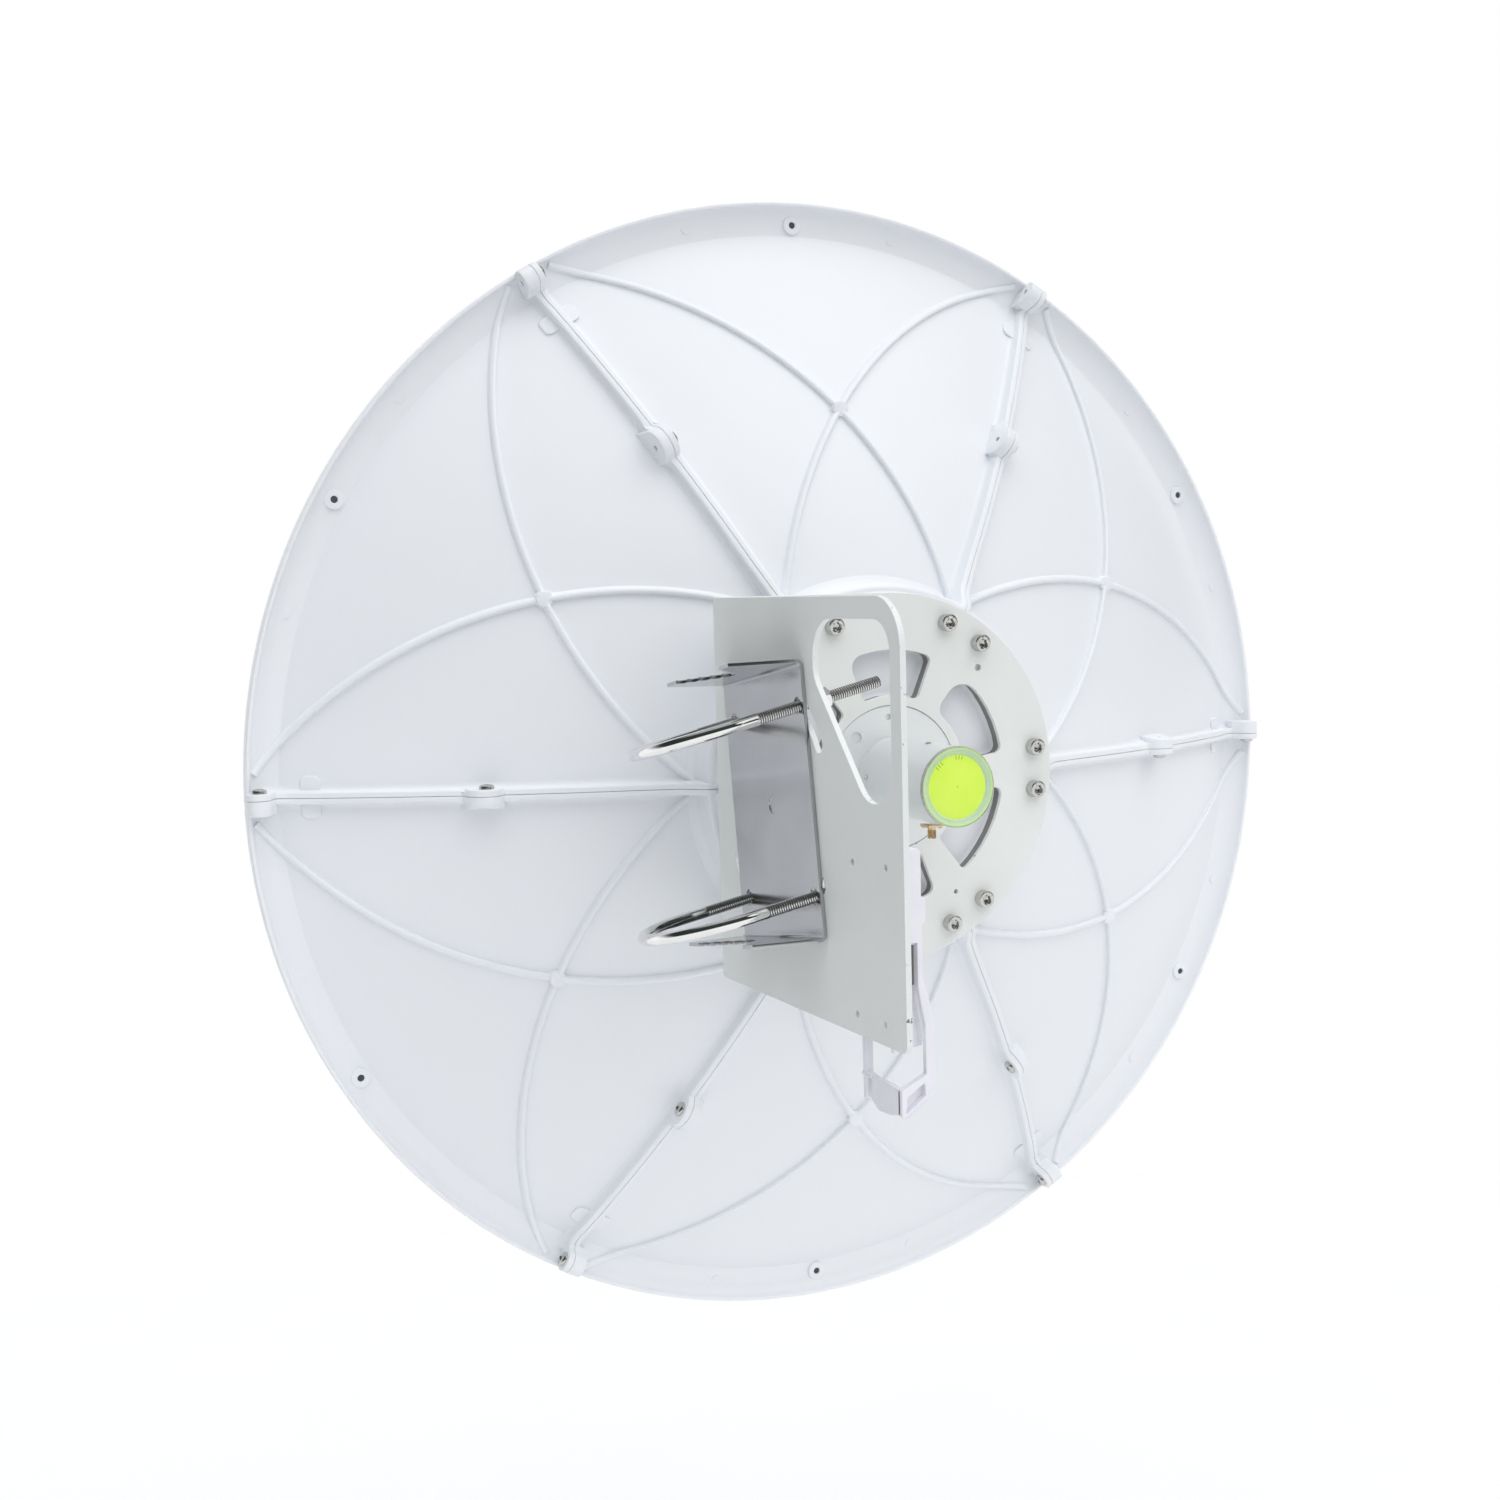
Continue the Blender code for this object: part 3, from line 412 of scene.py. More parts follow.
# Dark grey painted shade, for the walls of the hub's pockets and the holder's inner face
WALL_SHADE = moulded("pocket_wall", (0.25, 0.245, 0.235), (0.28, 0.275, 0.265), 0.55)
WHITE = moulded("white_plastic", (0.82, 0.82, 0.88), (0.86, 0.86, 0.92), 0.34)
# Near-black painted shade, for the floors of the bosses' holes
SHADE = moulded("dark_recess", (0.06, 0.065, 0.07), (0.09, 0.095, 0.10), 0.75)


# Reflector panels, each made about +X in the dish frame

def back_of_skin(radius):
    """Depth of the paraboloid behind the skin."""
    return VERTEX_Y + radius * radius / (4 * FOCAL_LENGTH)


def rear(radius):
    """Depth of the panel's rear surface: the paraboloid, then the hollow band inside the lip."""
    if radius <= CREASE:
        return back_of_skin(radius)
    if radius <= BAND_CENTRE:
        share = (radius - CREASE) / (BAND_CENTRE - CREASE)
        return mix(back_of_skin(CREASE), BAND_DEPTH, math.sin(share * math.pi / 2))
    reach = min((radius - BAND_CENTRE) / BAND_WIDTH, 1.0)
    return BAND_DEPTH * math.sqrt(1 - reach * reach)


def skin_profile():
    """Closed section of the skin with its band and rounded lip, as (radius, y) points."""
    inner, inside_lip, count = 0.046, 0.4360, 52
    back = [mix(inner, CREASE, k / count) for k in range(count + 1)]
    front = [mix(inside_lip, inner, k / count) for k in range(count + 1)]
    points = [(radius, back_of_skin(radius)) for radius in back]
    points += [(CREASE + 0.003, rear(CREASE + 0.003))]
    for k in range(12):
        turn = math.radians(90 * k / 12)
        points.append((BAND_CENTRE + BAND_WIDTH * math.sin(turn), BAND_DEPTH * math.cos(turn)))
    points += mm([(447, 1), (447.2, 0.5), (447.6, 0.15), (448.2, 0), (449, 0), (449.5, 0.15), (449.85, 0.5),
                  (450, 1), (450, 13), (449.85, 13.8), (449.3, 14.8), (448, 16.4), (446.8, 18), (446, 18.7),
                  (445, 19), (440, 19)])
    return points + [(radius, back_of_skin(radius) + SKIN) for radius in front]


def wedge(bm, profile, gap, steps):
    """Turns a closed (radius, y) profile through one panel's angle, leaving a gap before each seam."""
    rings = []
    for radius, y in profile:
        edge = HALF_PANEL - math.asin(gap / radius)
        turns = [edge * (2 * k / steps - 1) for k in range(steps + 1)]
        rings.append([(radius * math.cos(turn), y, radius * math.sin(turn)) for turn in turns])
    rows = loft(bm, rings + [rings[0]], ends=False, around=False)
    for j in (0, steps):
        bm.faces.new([row[j] for row in rows[:-1]])
    join_ends(bm, rows)


RIB_SECTION = mm([(-3.6, -0.6), (-3.3, 0), (-2.95, 0.15), (-2.72, 0.42), (-2.58, 0.85), (-2.5, 1.5),
                  (-2.46, 2.2), (-2.28, 3), (-1.92, 3.65), (-1.42, 4.15), (-0.75, 4.55), (0, 4.7)])
RIB_CENTRE = (0.0738, 0.2463)
RIB_RADIUS = 0.3213


def petal_rib(bm, side, tall):
    """One curved rib, from under the hub's drum to the rim's lip, lower where it crosses the band."""
    section = RIB_SECTION + [(-off, lift) for off, lift in reversed(RIB_SECTION[:-1])]
    centre = Vector((RIB_CENTRE[0], side * RIB_CENTRE[1]))
    rings = []
    count = 120
    for k in range(count + 1):
        spoke = Vector(polar(1, side * mix(-79.9, -7.2, k / count)))
        ring = []
        for off, lift in section:
            at = centre + spoke * (RIB_RADIUS + off)
            if lift > 0:
                lift *= tall * mix(1.0, 0.62, smooth(0.424, 0.436, at.length))
            ring.append((at.x, rear(at.length) - lift, at.y))
        rings.append(ring)
    loft(bm, rings)


def stud(at, turn, radius, top, hole=0.0, edge=0.0008):
    """Round boss at a place on the panel, sunk into the skin, with a shallow hole if it has one, its floor
    painted near-black as shade.
    """
    bm = bmesh.new()
    foot = rear(at) + 0.004
    profile = [(radius + 0.0003, foot), (radius, top + edge), (radius - edge * 0.3, top + edge * 0.3),
               (radius - edge, top)]
    if hole:
        profile += [(hole + 0.0004, top), (hole, top + 0.0004), (hole, top + 0.0018)]
    profile.append((0, profile[-1][1]))
    turned([(0, foot)] + profile, 40, bm)
    # The hole's floor takes the near-black painted shade
    for face in bm.faces:
        middle = face.calc_center_median()
        if hole and min(v.co.y for v in face.verts) > top + 0.0017 and middle.y < foot - 0.0005:
            face.material_index = 1 if middle.xz.length < hole else 0
    bm.transform(Matrix.Translation((at * math.cos(turn), 0, at * math.sin(turn))))
    return bm


def on_seam(side, radius, off, y):
    """The place at a radius along a panel's seam and off it into the panel."""
    turn = side * HALF_PANEL
    x = radius * math.cos(turn) + off * side * math.sin(turn)
    return (x, y, radius * math.sin(turn) - off * side * math.cos(turn))


FLANGE_RISE = mm([(118, -138), (142.5, -137.9), (145.6, -136.8), (148.5, -134.8), (151.2, -132.1),
                  (154, -128.6), (157, -125.3), (160, -123.1), (164, -121.2), (170, -119), (175.4, -117.1),
                  (190, -112)])


def flange_top(radius):
    """Depth of a seam flange's edge: level at the hub, then 10 mm above the skin, then level with the lip."""
    if radius < FLANGE_RISE[-1][0]:
        for (near, first), (far, second) in zip(FLANGE_RISE, FLANGE_RISE[1:]):
            if radius <= far:
                return mix(first, second, (radius - near) / (far - near))
    over = back_of_skin(radius) - 0.010
    return mix(over, -0.0008, smooth(0.412, 0.434, radius))


def seam_flange(bm, side):
    """Flange on one edge of a panel, its outer edge and its foot rounded."""
    wide, soft = 0.0047, 0.0019
    rings = []
    stations = [0.118, 0.128, 0.134, 0.138, 0.1405, 0.1425]
    stations += [mix(0.145, 0.205, k / 30) for k in range(31)]
    stations += [mix(0.210, 0.437, k / 40) for k in range(41)]
    for radius in stations:
        top = flange_top(radius)
        foot = rear(math.hypot(radius, wide))
        section = [(SEAM, foot + 0.0015)] + mm([(0, 0.55), (0.12, 0.22), (0.4, 0)], SEAM, top)
        section += arc((wide - soft, top + soft), soft, -90, 0, 5)
        section += mm([(0.3, -4), (0.5, -2.7), (1, -1.6), (1.8, -0.8), (2.9, -0.3), (4.2, 0.1), (5, 1.5)],
                      wide, foot)
        rings.append([on_seam(side, radius, off, y) for off, y in section])
    loft(bm, rings)


# Humps on the seam flanges, as (radius, y, size), and the thickness of the thinner of each pair
MIDDLE_HUMP = (0.2922, -0.0735, 0.0136)
MIDDLE_REACH = (0.2715, 0.3135)
RIM_HUMP = (0.4415, -0.0045, 0.0092)
EAR = 0.0051


def blend_low(a, b, reach):
    """The lower of two depths with a rounded meeting."""
    share = max(reach - abs(a - b), 0.0) / reach
    return min(a, b) - share * share * reach / 4


def middle_outline():
    """The middle hump, filleted into the flange's edge beside it, then the skin, as (radius, y) points."""
    at, depth, size = MIDDLE_HUMP
    first, last = MIDDLE_REACH
    points = []
    for k in range(37):
        radius = mix(first, last, k / 36)
        inside = size * size - (radius - at) ** 2
        crown = depth - math.sqrt(inside) if inside > 0 else depth + 6 * (abs(radius - at) - size)
        points.append((radius, blend_low(flange_top(radius) + 0.0002, crown, 0.004)))
    return points + [(radius, rear(radius) + 0.0012) for radius in (last, (first + last) / 2, first)]


def middle_core():
    """The hump alone, straight down to the skin, with as many points as its outline."""
    at, depth, size = MIDDLE_HUMP
    points = []
    for k in range(37):
        share = k / 18 - 1
        bend = math.radians(90 * min(abs(share) / 0.75, 1.0))
        drop = max(abs(share) - 0.75, 0.0) / 0.25
        radius = at + math.copysign(size * (math.sin(bend) + 0.06 * drop * drop), share)
        points.append((radius, mix(depth - size * math.cos(bend), rear(radius) + 0.0012, drop)))
    first, last = points[0][0], points[-1][0]
    return points + [(radius, rear(radius) + 0.0013) for radius in (last, at, first)]


def rim_outline():
    """The hump at the rim, down into the band."""
    at, depth, size = RIM_HUMP
    top = [(0.4285, rear(0.4285) + 0.0015), (0.4290, -0.0005), (0.4305, -0.0030)]
    top += arc((at, depth), size, 187, 385, 26)
    return top + [(0.4488, 0.0060), (0.4470, 0.0135), (0.4400, 0.0135)]


def shrunk(points, centre, by):
    """Points drawn in towards a centre by a length."""
    made = []
    for a, b in points:
        out = Vector((a - centre[0], b - centre[1]))
        out *= max(1 - by / out.length, 0.2)
        made.append((centre[0] + out.x, centre[1] + out.y))
    return made


def seam_boss(bm, side, outline, centre, wide, core=None, lean=0.0, tall=1.0, hole=0.0):
    """Boss against the seam plane, narrowing to its core; its face may lean and hold a hole whose floor is
    painted near-black as shade.
    """
    core = core or outline

    def ring(points, off):
        made = []
        for radius, y in points:
            out = off
            if lean and off > wide * 0.5:
                share = min(max((rear(min(radius, 0.42)) - y) / tall, 0.0), 1.0)
                out = off - lean * share
            made.append(on_seam(side, radius, out, y))
        return made

    rings = [ring(shrunk(outline, centre, 0.0004), SEAM), ring(outline, SEAM + 0.0005)]
    turn_in = min(wide * 0.5, 0.0044)
    for share in (0.0, 0.1, 0.3, 0.6, 0.85, 1.0):
        blend = [(mix(a, c, share), mix(b, d, share)) for (a, b), (c, d) in zip(outline, core)]
        rings.append(ring(blend, mix(turn_in, min(wide - 0.0009, 0.0078), share)))
    rings += [ring(core, wide - 0.0008), ring(shrunk(core, centre, 0.00025), wide - 0.00025),
              ring(shrunk(core, centre, 0.0009), wide)]
    if hole:
        spokes = [Vector((a - centre[0], b - centre[1])).normalized() * hole for a, b in core]
        bore = [(centre[0] + spoke.x, centre[1] + spoke.y) for spoke in spokes]
        well = shrunk(bore, centre, 0.0003)
        rings += [ring(bore, wide), ring(well, wide - 0.0003), ring(well, wide - 0.0035)]
    rows = loft(bm, rings)
    # The hole's floor takes the near-black painted shade
    for face in rows[-1][0].link_faces:
        if hole and len(face.verts) > 6:
            face.material_index = 1


def seam_pad(bm, side):
    """Low D-shaped pad beside the seam flange near the rim."""
    outline = rounded(mm([(398.5, 3, 0), (411.5, 3, 0), (411.5, 15.8, 4.5), (398.5, 15.8, 4.5)]), 6)
    centre = (0.405, 0.0094)
    rings = []
    for by, lift in mm([(-0.3, -1), (0, 1.4), (0.2, 2), (0.6, 2.3), (1.2, 2.4)]):
        ring = []
        for radius, off in shrunk(outline, centre, by):
            point = on_seam(side, radius, off, 0)
            ring.append((point[0], rear(math.hypot(point[0], point[2])) - lift, point[2]))
        rings.append(ring)
    loft(bm, rings)


POCKET_FLOOR = -0.1338
WINDOW_INNER = 0.0620
WINDOW_OUTER = 0.0958
WINDOW_REACH = 21.5


def hub_window(mid, grow=0.0, corners=(4, 5, 7, 5)):
    """Outline of a window in the hub; its corners are clockwise inner and outer, then the others, in mm."""
    corners = [corner / 1000 for corner in corners]
    inner, outer = WINDOW_INNER - grow, WINDOW_OUTER + grow
    reach = WINDOW_REACH + math.degrees(grow / 0.079)
    marks = [(inner, -reach, corners[0]), (outer, -reach, corners[1])]
    marks += [(outer, angle, 0) for angle in (-14, -7, 0, 7, 14) if angle < reach - corners[2] * 650]
    marks += [(outer, reach, corners[2]), (inner, reach, corners[3])]
    marks += [(inner, angle, 0) for angle in (7, 0, -7)]
    return rounded([(*polar(radius, mid + angle), corner) for radius, angle, corner in marks], 8)


POCKET = hub_window(0, 0.0012, (6, 7, 7, 6))
POCKET_CENTRE = (0.0795, 0.0)


def hub_deck():
    """Level face of the hub under the bracket, with the pocket's opening in it."""
    def fan(radius, off, sign):
        edge = math.degrees(HALF_PANEL - math.asin(off / radius))
        return arc((0, 0), radius, -sign * edge, sign * edge, 18)

    outline = fan(0.0466, 0.0004, 1) + fan(0.1368, 0.0004, -1)
    bm = blank(outline, [shrunk(POCKET, POCKET_CENTRE, -0.0003)], HUB_TOP, HUB_TOP + 0.020, 0.0006)
    return reshaped(bm, lambda a, b, depth: (
        a, depth if depth < HUB_TOP + 0.003 else back_of_skin(math.hypot(a, b)) + 0.001, b))


def pocket_tray():
    """Wall and floor of the pocket behind a window, the wall painted dark grey as the shade inside the
    pocket, with a rounded foot.
    """
    steps = mm([(-0.8, 2.5)], 0, POCKET_FLOOR) + mm([(-0.8, 1.6), (0, 0.8)], 0, HUB_TOP)
    steps += mm([(0, -3.6), (0.4, -1.9), (1.2, -0.9), (2.6, -0.2), (4.2, 0)], 0, POCKET_FLOOR)
    bm = bmesh.new()
    rows = loft(bm, [[(a, y, b) for a, b in shrunk(POCKET, POCKET_CENTRE, by)] for by, y in steps])
    # The wall's faces take the dark grey painted shade
    for vertex in rows[3]:
        for face in vertex.link_faces:
            if all(v.co.y < POCKET_FLOOR - 0.0015 for v in face.verts):
                face.material_index = 2
    return bm


def hub_drum(bm):
    """Outer part of the hub: a step below the plate's edge, then an upright wall filleted into the skin."""
    profile = [(0.1300, HUB_TOP + 0.0002), (0.1364, HUB_TOP + 0.0002)]
    profile += mm([(137.1, -143.2), (137.5, -142.5), (137.7, -139.2), (138.1, -138.1), (139.1, -137.6),
                   (141.2, -137.6), (142.4, -137.3), (143.4, -136.6), (144, -135.6), (144.3, -134.2),
                   (144.8, -119.6), (145.1, -117.8), (145.8, -116), (147, -114.5), (148.6, -113.4),
                   (150.6, -112.6), (153.5, -110.5), (140, -109), (130, -114)])
    wedge(bm, profile, 0.0030, 30)


def panel():
    """One panel: skin, ribs, its share of the hub, bosses and seam flanges."""
    bm = bmesh.new()
    wedge(bm, skin_profile(), SEAM, 44)
    petal_rib(bm, 1, 1.0)
    petal_rib(bm, -1, 0.94)
    hub_drum(bm)
    absorb(bm, hub_deck())
    absorb(bm, pocket_tray())
    absorb(bm, stud(0.280, 0, 0.0063, back_of_skin(0.280) - 0.0054, edge=0.0012))
    absorb(bm, stud(0.4336, 0, 0.0075, 0.0068, hole=0.0027))
    for turn in (-12, 12):
        absorb(bm, stud(0.4365, math.radians(turn), 0.0050, rear(0.4365) - 0.0002, edge=0.0002))
    for side in (1, -1):
        seam_flange(bm, side)
        seam_pad(bm, side)
    middle = (MIDDLE_HUMP[0], -0.0760)
    seam_boss(bm, 1, middle_outline(), middle, EAR, middle_core())
    seam_boss(bm, 1, rim_outline(), RIM_HUMP[:2], EAR)
    seam_boss(bm, -1, middle_outline(), middle, 0.0109, middle_core(), 0.0032, 0.0226, 0.0024)
    seam_boss(bm, -1, rim_outline(), RIM_HUMP[:2], 0.0112, hole=0.0025)
    return bm


def build_panels():
    """Six copies of the same panel, turned about the dish's axis."""
    master = panel()
    for k in range(PANELS):
        turn = Matrix.Rotation(-math.radians(PANEL_TURN * (k + 0.5)), 4, "Y")
        store("reflector_panel_" + str(k + 1), master.copy(), [PLASTIC, SHADE, WALL_SHADE], "antenna",
              ["dish_panel_" + str(k + 1)], DISH @ turn, sharp=26)
    master.free()


# Screws

SCREW_CIRCLE = 0.1236
SCREW_OFF_SEAM = 7.58


def hexagon(flats, sides):
    """A hexagon as that many points, so that it can follow a circle."""
    turns = [360 * k / sides for k in range(sides)]
    return [polar(flats / 2 / math.cos(math.radians(turn % 60 - 30)), turn) for turn in turns]


def socket_screw(radius, head, socket, dome=0.0, shank=0.004, length=0.004, sides=48):
    """Screw with a hexagon socket: its seat at the origin, its head towards -Y."""
    def ring(size, y):
        return [(a, y, b) for a, b in circle(size, sides=sides)]

    rings = [ring(shank, length), ring(shank, 0), ring(radius - 0.0003, 0), ring(radius, -0.0003)]
    if dome:
        for k in range(1, 8):
            turn = math.radians(90 * k / 8)
            size = mix(socket * 0.62, radius, math.cos(turn))
            rings.append(ring(size, -head + dome * (1 - math.sin(turn))))
    else:
        rings += [ring(radius, -head + 0.0009), ring(radius - 0.00018, -head + 0.00045),
                  ring(radius - 0.0005, -head + 0.00012), ring(radius - 0.0009, -head)]
    rings.append(ring(socket / math.sqrt(3) + 0.0003, -head))
    well = hexagon(socket, sides)
    deep = -head + min(head * 0.55, 0.004)
    rings.append([(a, -head + 0.0004, b) for a, b in well])
    rings.append([(a, deep, b) for a, b in well])
    rings.append(ring(socket * 0.25, deep + 0.0008))
    bm = bmesh.new()
    loft(bm, rings)
    return bm


def build_hub_screws():
    """A pair of cap screws beside every seam."""
    for k in range(2 * PANELS):
        x, z = polar(SCREW_CIRCLE, PANEL_TURN * (k // 2) + (SCREW_OFF_SEAM if k % 2 else -SCREW_OFF_SEAM))
        spin = Matrix.Rotation(0.7 * k, 4, "Y")
        at = Matrix.Translation((x, PLATE_BACK, z))
        store("hub_cap_screw_" + str(k + 1), socket_screw(0.0065, 0.008, 0.006, length=0.014), SATIN,
              "antenna", ["hub_screw_" + str(k + 1)], DISH @ at @ spin)


def build_seam_screws():
    """Pan heads on the thin ears and the screws' ends in the thick bosses, at each seam's two humps."""
    heads = bmesh.new()
    ends = bmesh.new()
    for k in range(PANELS):
        turn = math.radians(PANEL_TURN * k)
        along = Vector((math.cos(turn), 0, math.sin(turn)))
        across = Vector((-math.sin(turn), 0, math.cos(turn)))
        seam = Matrix((along, across, along.cross(across))).transposed().to_4x4()
        places = ((MIDDLE_HUMP[0], -0.0775, 0.0093), (*RIM_HUMP[:2], 0.0112))
        for number, (radius, y, face) in enumerate(places):
            place = Matrix.Translation(along * radius + Vector((0, y, 0))) @ seam
            spin = Matrix.Rotation(1.1 * k + number, 4, "Y")
            seat = place @ Matrix.Translation((0, -EAR - 0.0001, 0)) @ spin
            absorb(heads, socket_screw(0.0056, 0.0032, 0.0034, dome=0.0022, shank=0.0025, length=0.002), seat)
            tip = place @ Matrix.Translation((0, face - 0.0016, 0))
            absorb(ends, turned(mm([(0, 0), (1.6, 0), (2, -0.4), (2, -3), (0, -3)]), 20), tip)
    store("seam_screw_heads", heads, SATIN, "antenna")
    store("seam_screw_ends", ends, GILT, "antenna")


# Bent bracket

FOLD_X = -0.1355
FOLD_Y = -0.150
FOLD_NEUTRAL = 0.004
FOLD_LENGTH = FOLD_NEUTRAL * math.pi / 2
PLATE_RADIUS = 0.138
SIDE_REAR = -0.428
SIDE_TOP = 0.138
SIDE_FOOT = -0.1293
PIVOT_Y = -0.250
SLOT_HALF = 0.0055
SLOT_TURN = 15.5


def side_u(y):
    """Flat coordinate of a place on the side plate."""
    return FOLD_X - FOLD_LENGTH + (y - FOLD_Y)


def folded(u, z, depth):
    """Bends the flat bracket about its fold."""
    if u >= FOLD_X:
        return (u, depth, z)
    run = FOLD_X - u
    radius = depth - FOLD_Y
    turn = min(run, FOLD_LENGTH) / FOLD_NEUTRAL
    x = FOLD_X - radius * math.sin(turn)
    y = FOLD_Y + radius * math.cos(turn) - max(run - FOLD_LENGTH, 0.0)
    return (x, y, z)


def mark_cut(bm):
    """Marks the faces round the edges of a blank, whose depth runs along Z, with the attribute 'cut'."""
    layer = bm.verts.layers.float.new("cut")
    heights = [vertex.co.z for vertex in bm.verts]
    low, high = min(heights), max(heights)
    for vertex in bm.verts:
        inside = low + 1e-5 < vertex.co.z < high - 1e-5
        vertex[layer] = 1.0 if inside else 0.0


def sliced(bm, axis, places):
    """Cuts a blank across one of its axes, so that it can be bent there."""
    normal = (1, 0, 0) if axis == 0 else (0, 1, 0)
    for place in places:
        point = tuple(place if i == axis else 0 for i in range(3))
        bmesh.ops.bisect_plane(bm, geom=bm.verts[:] + bm.edges[:] + bm.faces[:], plane_co=point,
                               plane_no=normal, dist=1e-6)


def arc_slot(leg):
    """Outline of a slot round the pivot, as (y, z) points."""
    reach = math.hypot(LEG_SPAN, LEG_HEIGHT)
    low, high = leg - SLOT_TURN, leg + SLOT_TURN

    def around(radius, first, last):
        return arc((PIVOT_Y, 0), radius, first, last, 18)

    def end(turn, start):
        y, z = polar(reach, turn)
        return arc((PIVOT_Y + y, z), SLOT_HALF, start, start + 180, 10)[1:-1]

    return (around(reach + SLOT_HALF, low, high) + end(high, high)
            + around(reach - SLOT_HALF, high, low) + end(low, low + 180))


def bracket():
    """The bracket cut flat, with its windows, slots and holes, then bent."""
    rear_u = side_u(SIDE_REAR)
    corners = [(rear_u, SIDE_TOP, 0.031), (rear_u, SIDE_FOOT, 0.006)]
    outline = rounded(corners + [(a, b, 0) for a, b in arc((0, 0), PLATE_RADIUS, -91.2, 90, 90)], 10)
    holes = [circle(0.0545, sides=96)]
    shapes = {30: (4, 5, 15, 8), 90: (4, 5, 10, 4), 330: (4, 4, 5, 4)}
    holes += [hub_window(mid, 0.0, shapes.get(mid, (4, 5, 7, 5))) for mid in range(30, 360, 60)]
    holes += [circle(size, polar(radius, turn), 24) for radius, turn, size in (
        (0.109, 46.7, 0.0027), (0.105, -59.9, 0.0018))]
    leg = math.degrees(math.atan2(LEG_HEIGHT, LEG_SPAN))
    on_side = [rounded(mm([(-311.5, 124, 25), (-415, 124, 20), (-415, -21.6, 24), (-311.5, 87.4, 20)]), 10)]
    on_side += [circle(0.0076, (PIVOT_Y, 0), 40)]
    on_side += [arc_slot(angle) for angle in (leg, 180 - leg, 180 + leg, -leg)]
    for place in mm([(-361, -24), (-405, -22), (-364, -118), (-401, -117)]):
        on_side.append(circle(0.0023, place, 20))
    holes += [[(side_u(y), z) for y, z in points] for points in on_side]
    bm = blank(outline, holes, PLATE_BACK, PLATE_FRONT, 0.0004, 2)
    mark_cut(bm)
    steps = 9
    sliced(bm, 0, [FOLD_X - FOLD_LENGTH * k / steps for k in range(steps + 1)])
    return reshaped(bm, folded)


def build_bracket():
    store("bent_bracket", bracket(), PAINT, "antenna", ["mounting_bracket"], flat=True)


# Feed

FEED = DISH @ Matrix.Translation((0.0010, 0, 0.0016))
FLANGE_BACK = PLATE_FRONT - 0.0032
TUBE_END = -0.2445
PLUG_RADIUS = 0.0453
PLUG_FOOT = back_of_skin(PLUG_RADIUS) + SKIN
TUBE_RADIUS = 0.0283


def build_feed_flange():
    """Ring in the plate's hole with two sets of three holes, and the plug on the dish's front."""
    holes = [circle(0.0042, polar(0.0430, 132.5 + 120 * k), 32) for k in range(3)]
    holes += [circle(0.0022, polar(0.0458, 93 + 120 * k), 20) for k in range(3)]
    bm = plate(circle(0.0542, sides=96), holes, FLANGE_BACK, PLATE_FRONT, "Y", 0.0004)
    absorb(bm, turned(mm([(0, -1.2), (50, -1.2), (50, -0.2), (0, -0.2)], 0, PLATE_FRONT), 64))
    plug = mm([(0, -0.2), (45.3, -0.2)], 0, PLATE_FRONT)
    plug += mm([(45.3, 0), (45, 1.6), (44, 3), (42.5, 3.7), (40.5, 4), (33, 4), (0, 4)], 0, PLUG_FOOT)
    absorb(bm, turned(plug, 96))
    for k in range(3):
        x, z = polar(0.0370, 12.5 + 120 * k)
        place = Matrix.Translation((x, PLUG_FOOT + 0.0039, z)) @ Matrix.Rotation(math.pi, 4, "X")
        absorb(bm, socket_screw(0.0027, 0.0028, 0.0025, 0, 0.0015, 0.001, 24), place, 1)
    store("feed_flange_plug", bm, [SILVER, BRIGHT], "antenna", ["feed_flange"], flat=True)


def build_feed_tube():
    """Tube from the flange to the cap, with a collar at its foot and two set screws."""
    profile = mm([(26, -0.3), (29, -0.3), (29, -0.7), (28.7, -0.9), (28.3, -1.4)], 0, FLANGE_BACK)
    profile += mm([(28.3, 4.2), (28, 3.9), (26, 3.9)], 0, TUBE_END)
    tube = turned(profile, 96, closed=True)
    for y, turn in ((-0.1583, 177.7), (-0.207, 96.0)):
        seat = Matrix.Rotation(-math.radians(turn), 4, "Y") @ Matrix.Translation((TUBE_RADIUS + 0.0001, y, 0))
        seat = seat @ Y_TO_X.inverted()
        absorb(tube, socket_screw(0.0024, 0.0009, 0.0022, 0, 0.0015, 0.001, 24), seat, 1)
    store("feed_tube_body", tube, [SILVER, BRIGHT], "antenna", ["feed_tube"], FEED)


CAP_DEPTH = 0.0022
CAP_PROFILES = [
    [(26.8, 4), (28.4, 4), (28.7, 3.6), (28.7, 0.4), (28.5, 0), (28.1, 0), (27.9, 0.3), (27.9, 1.2),
     (26.8, 1.2)],
    [(26.2, 4), (28.1, 4), (28, 0.6), (27.7, 0.3), (26.8, 0.3), (26.6, 0.5), (26.2, 1)],
    [(22.6, 4), (26.4, 4), (26.5, 0.6), (25.8, 0.9), (24.6, 1.4), (24, 1.2), (23.6, 1.4), (23.1, 2.1),
     (22.6, 2.6)],
    [(0, 4), (23, 4), (23, 2.3), (22.7, 2.2), (0.9, 2.2), (0.7, 2.8), (0, 2.9)],
]


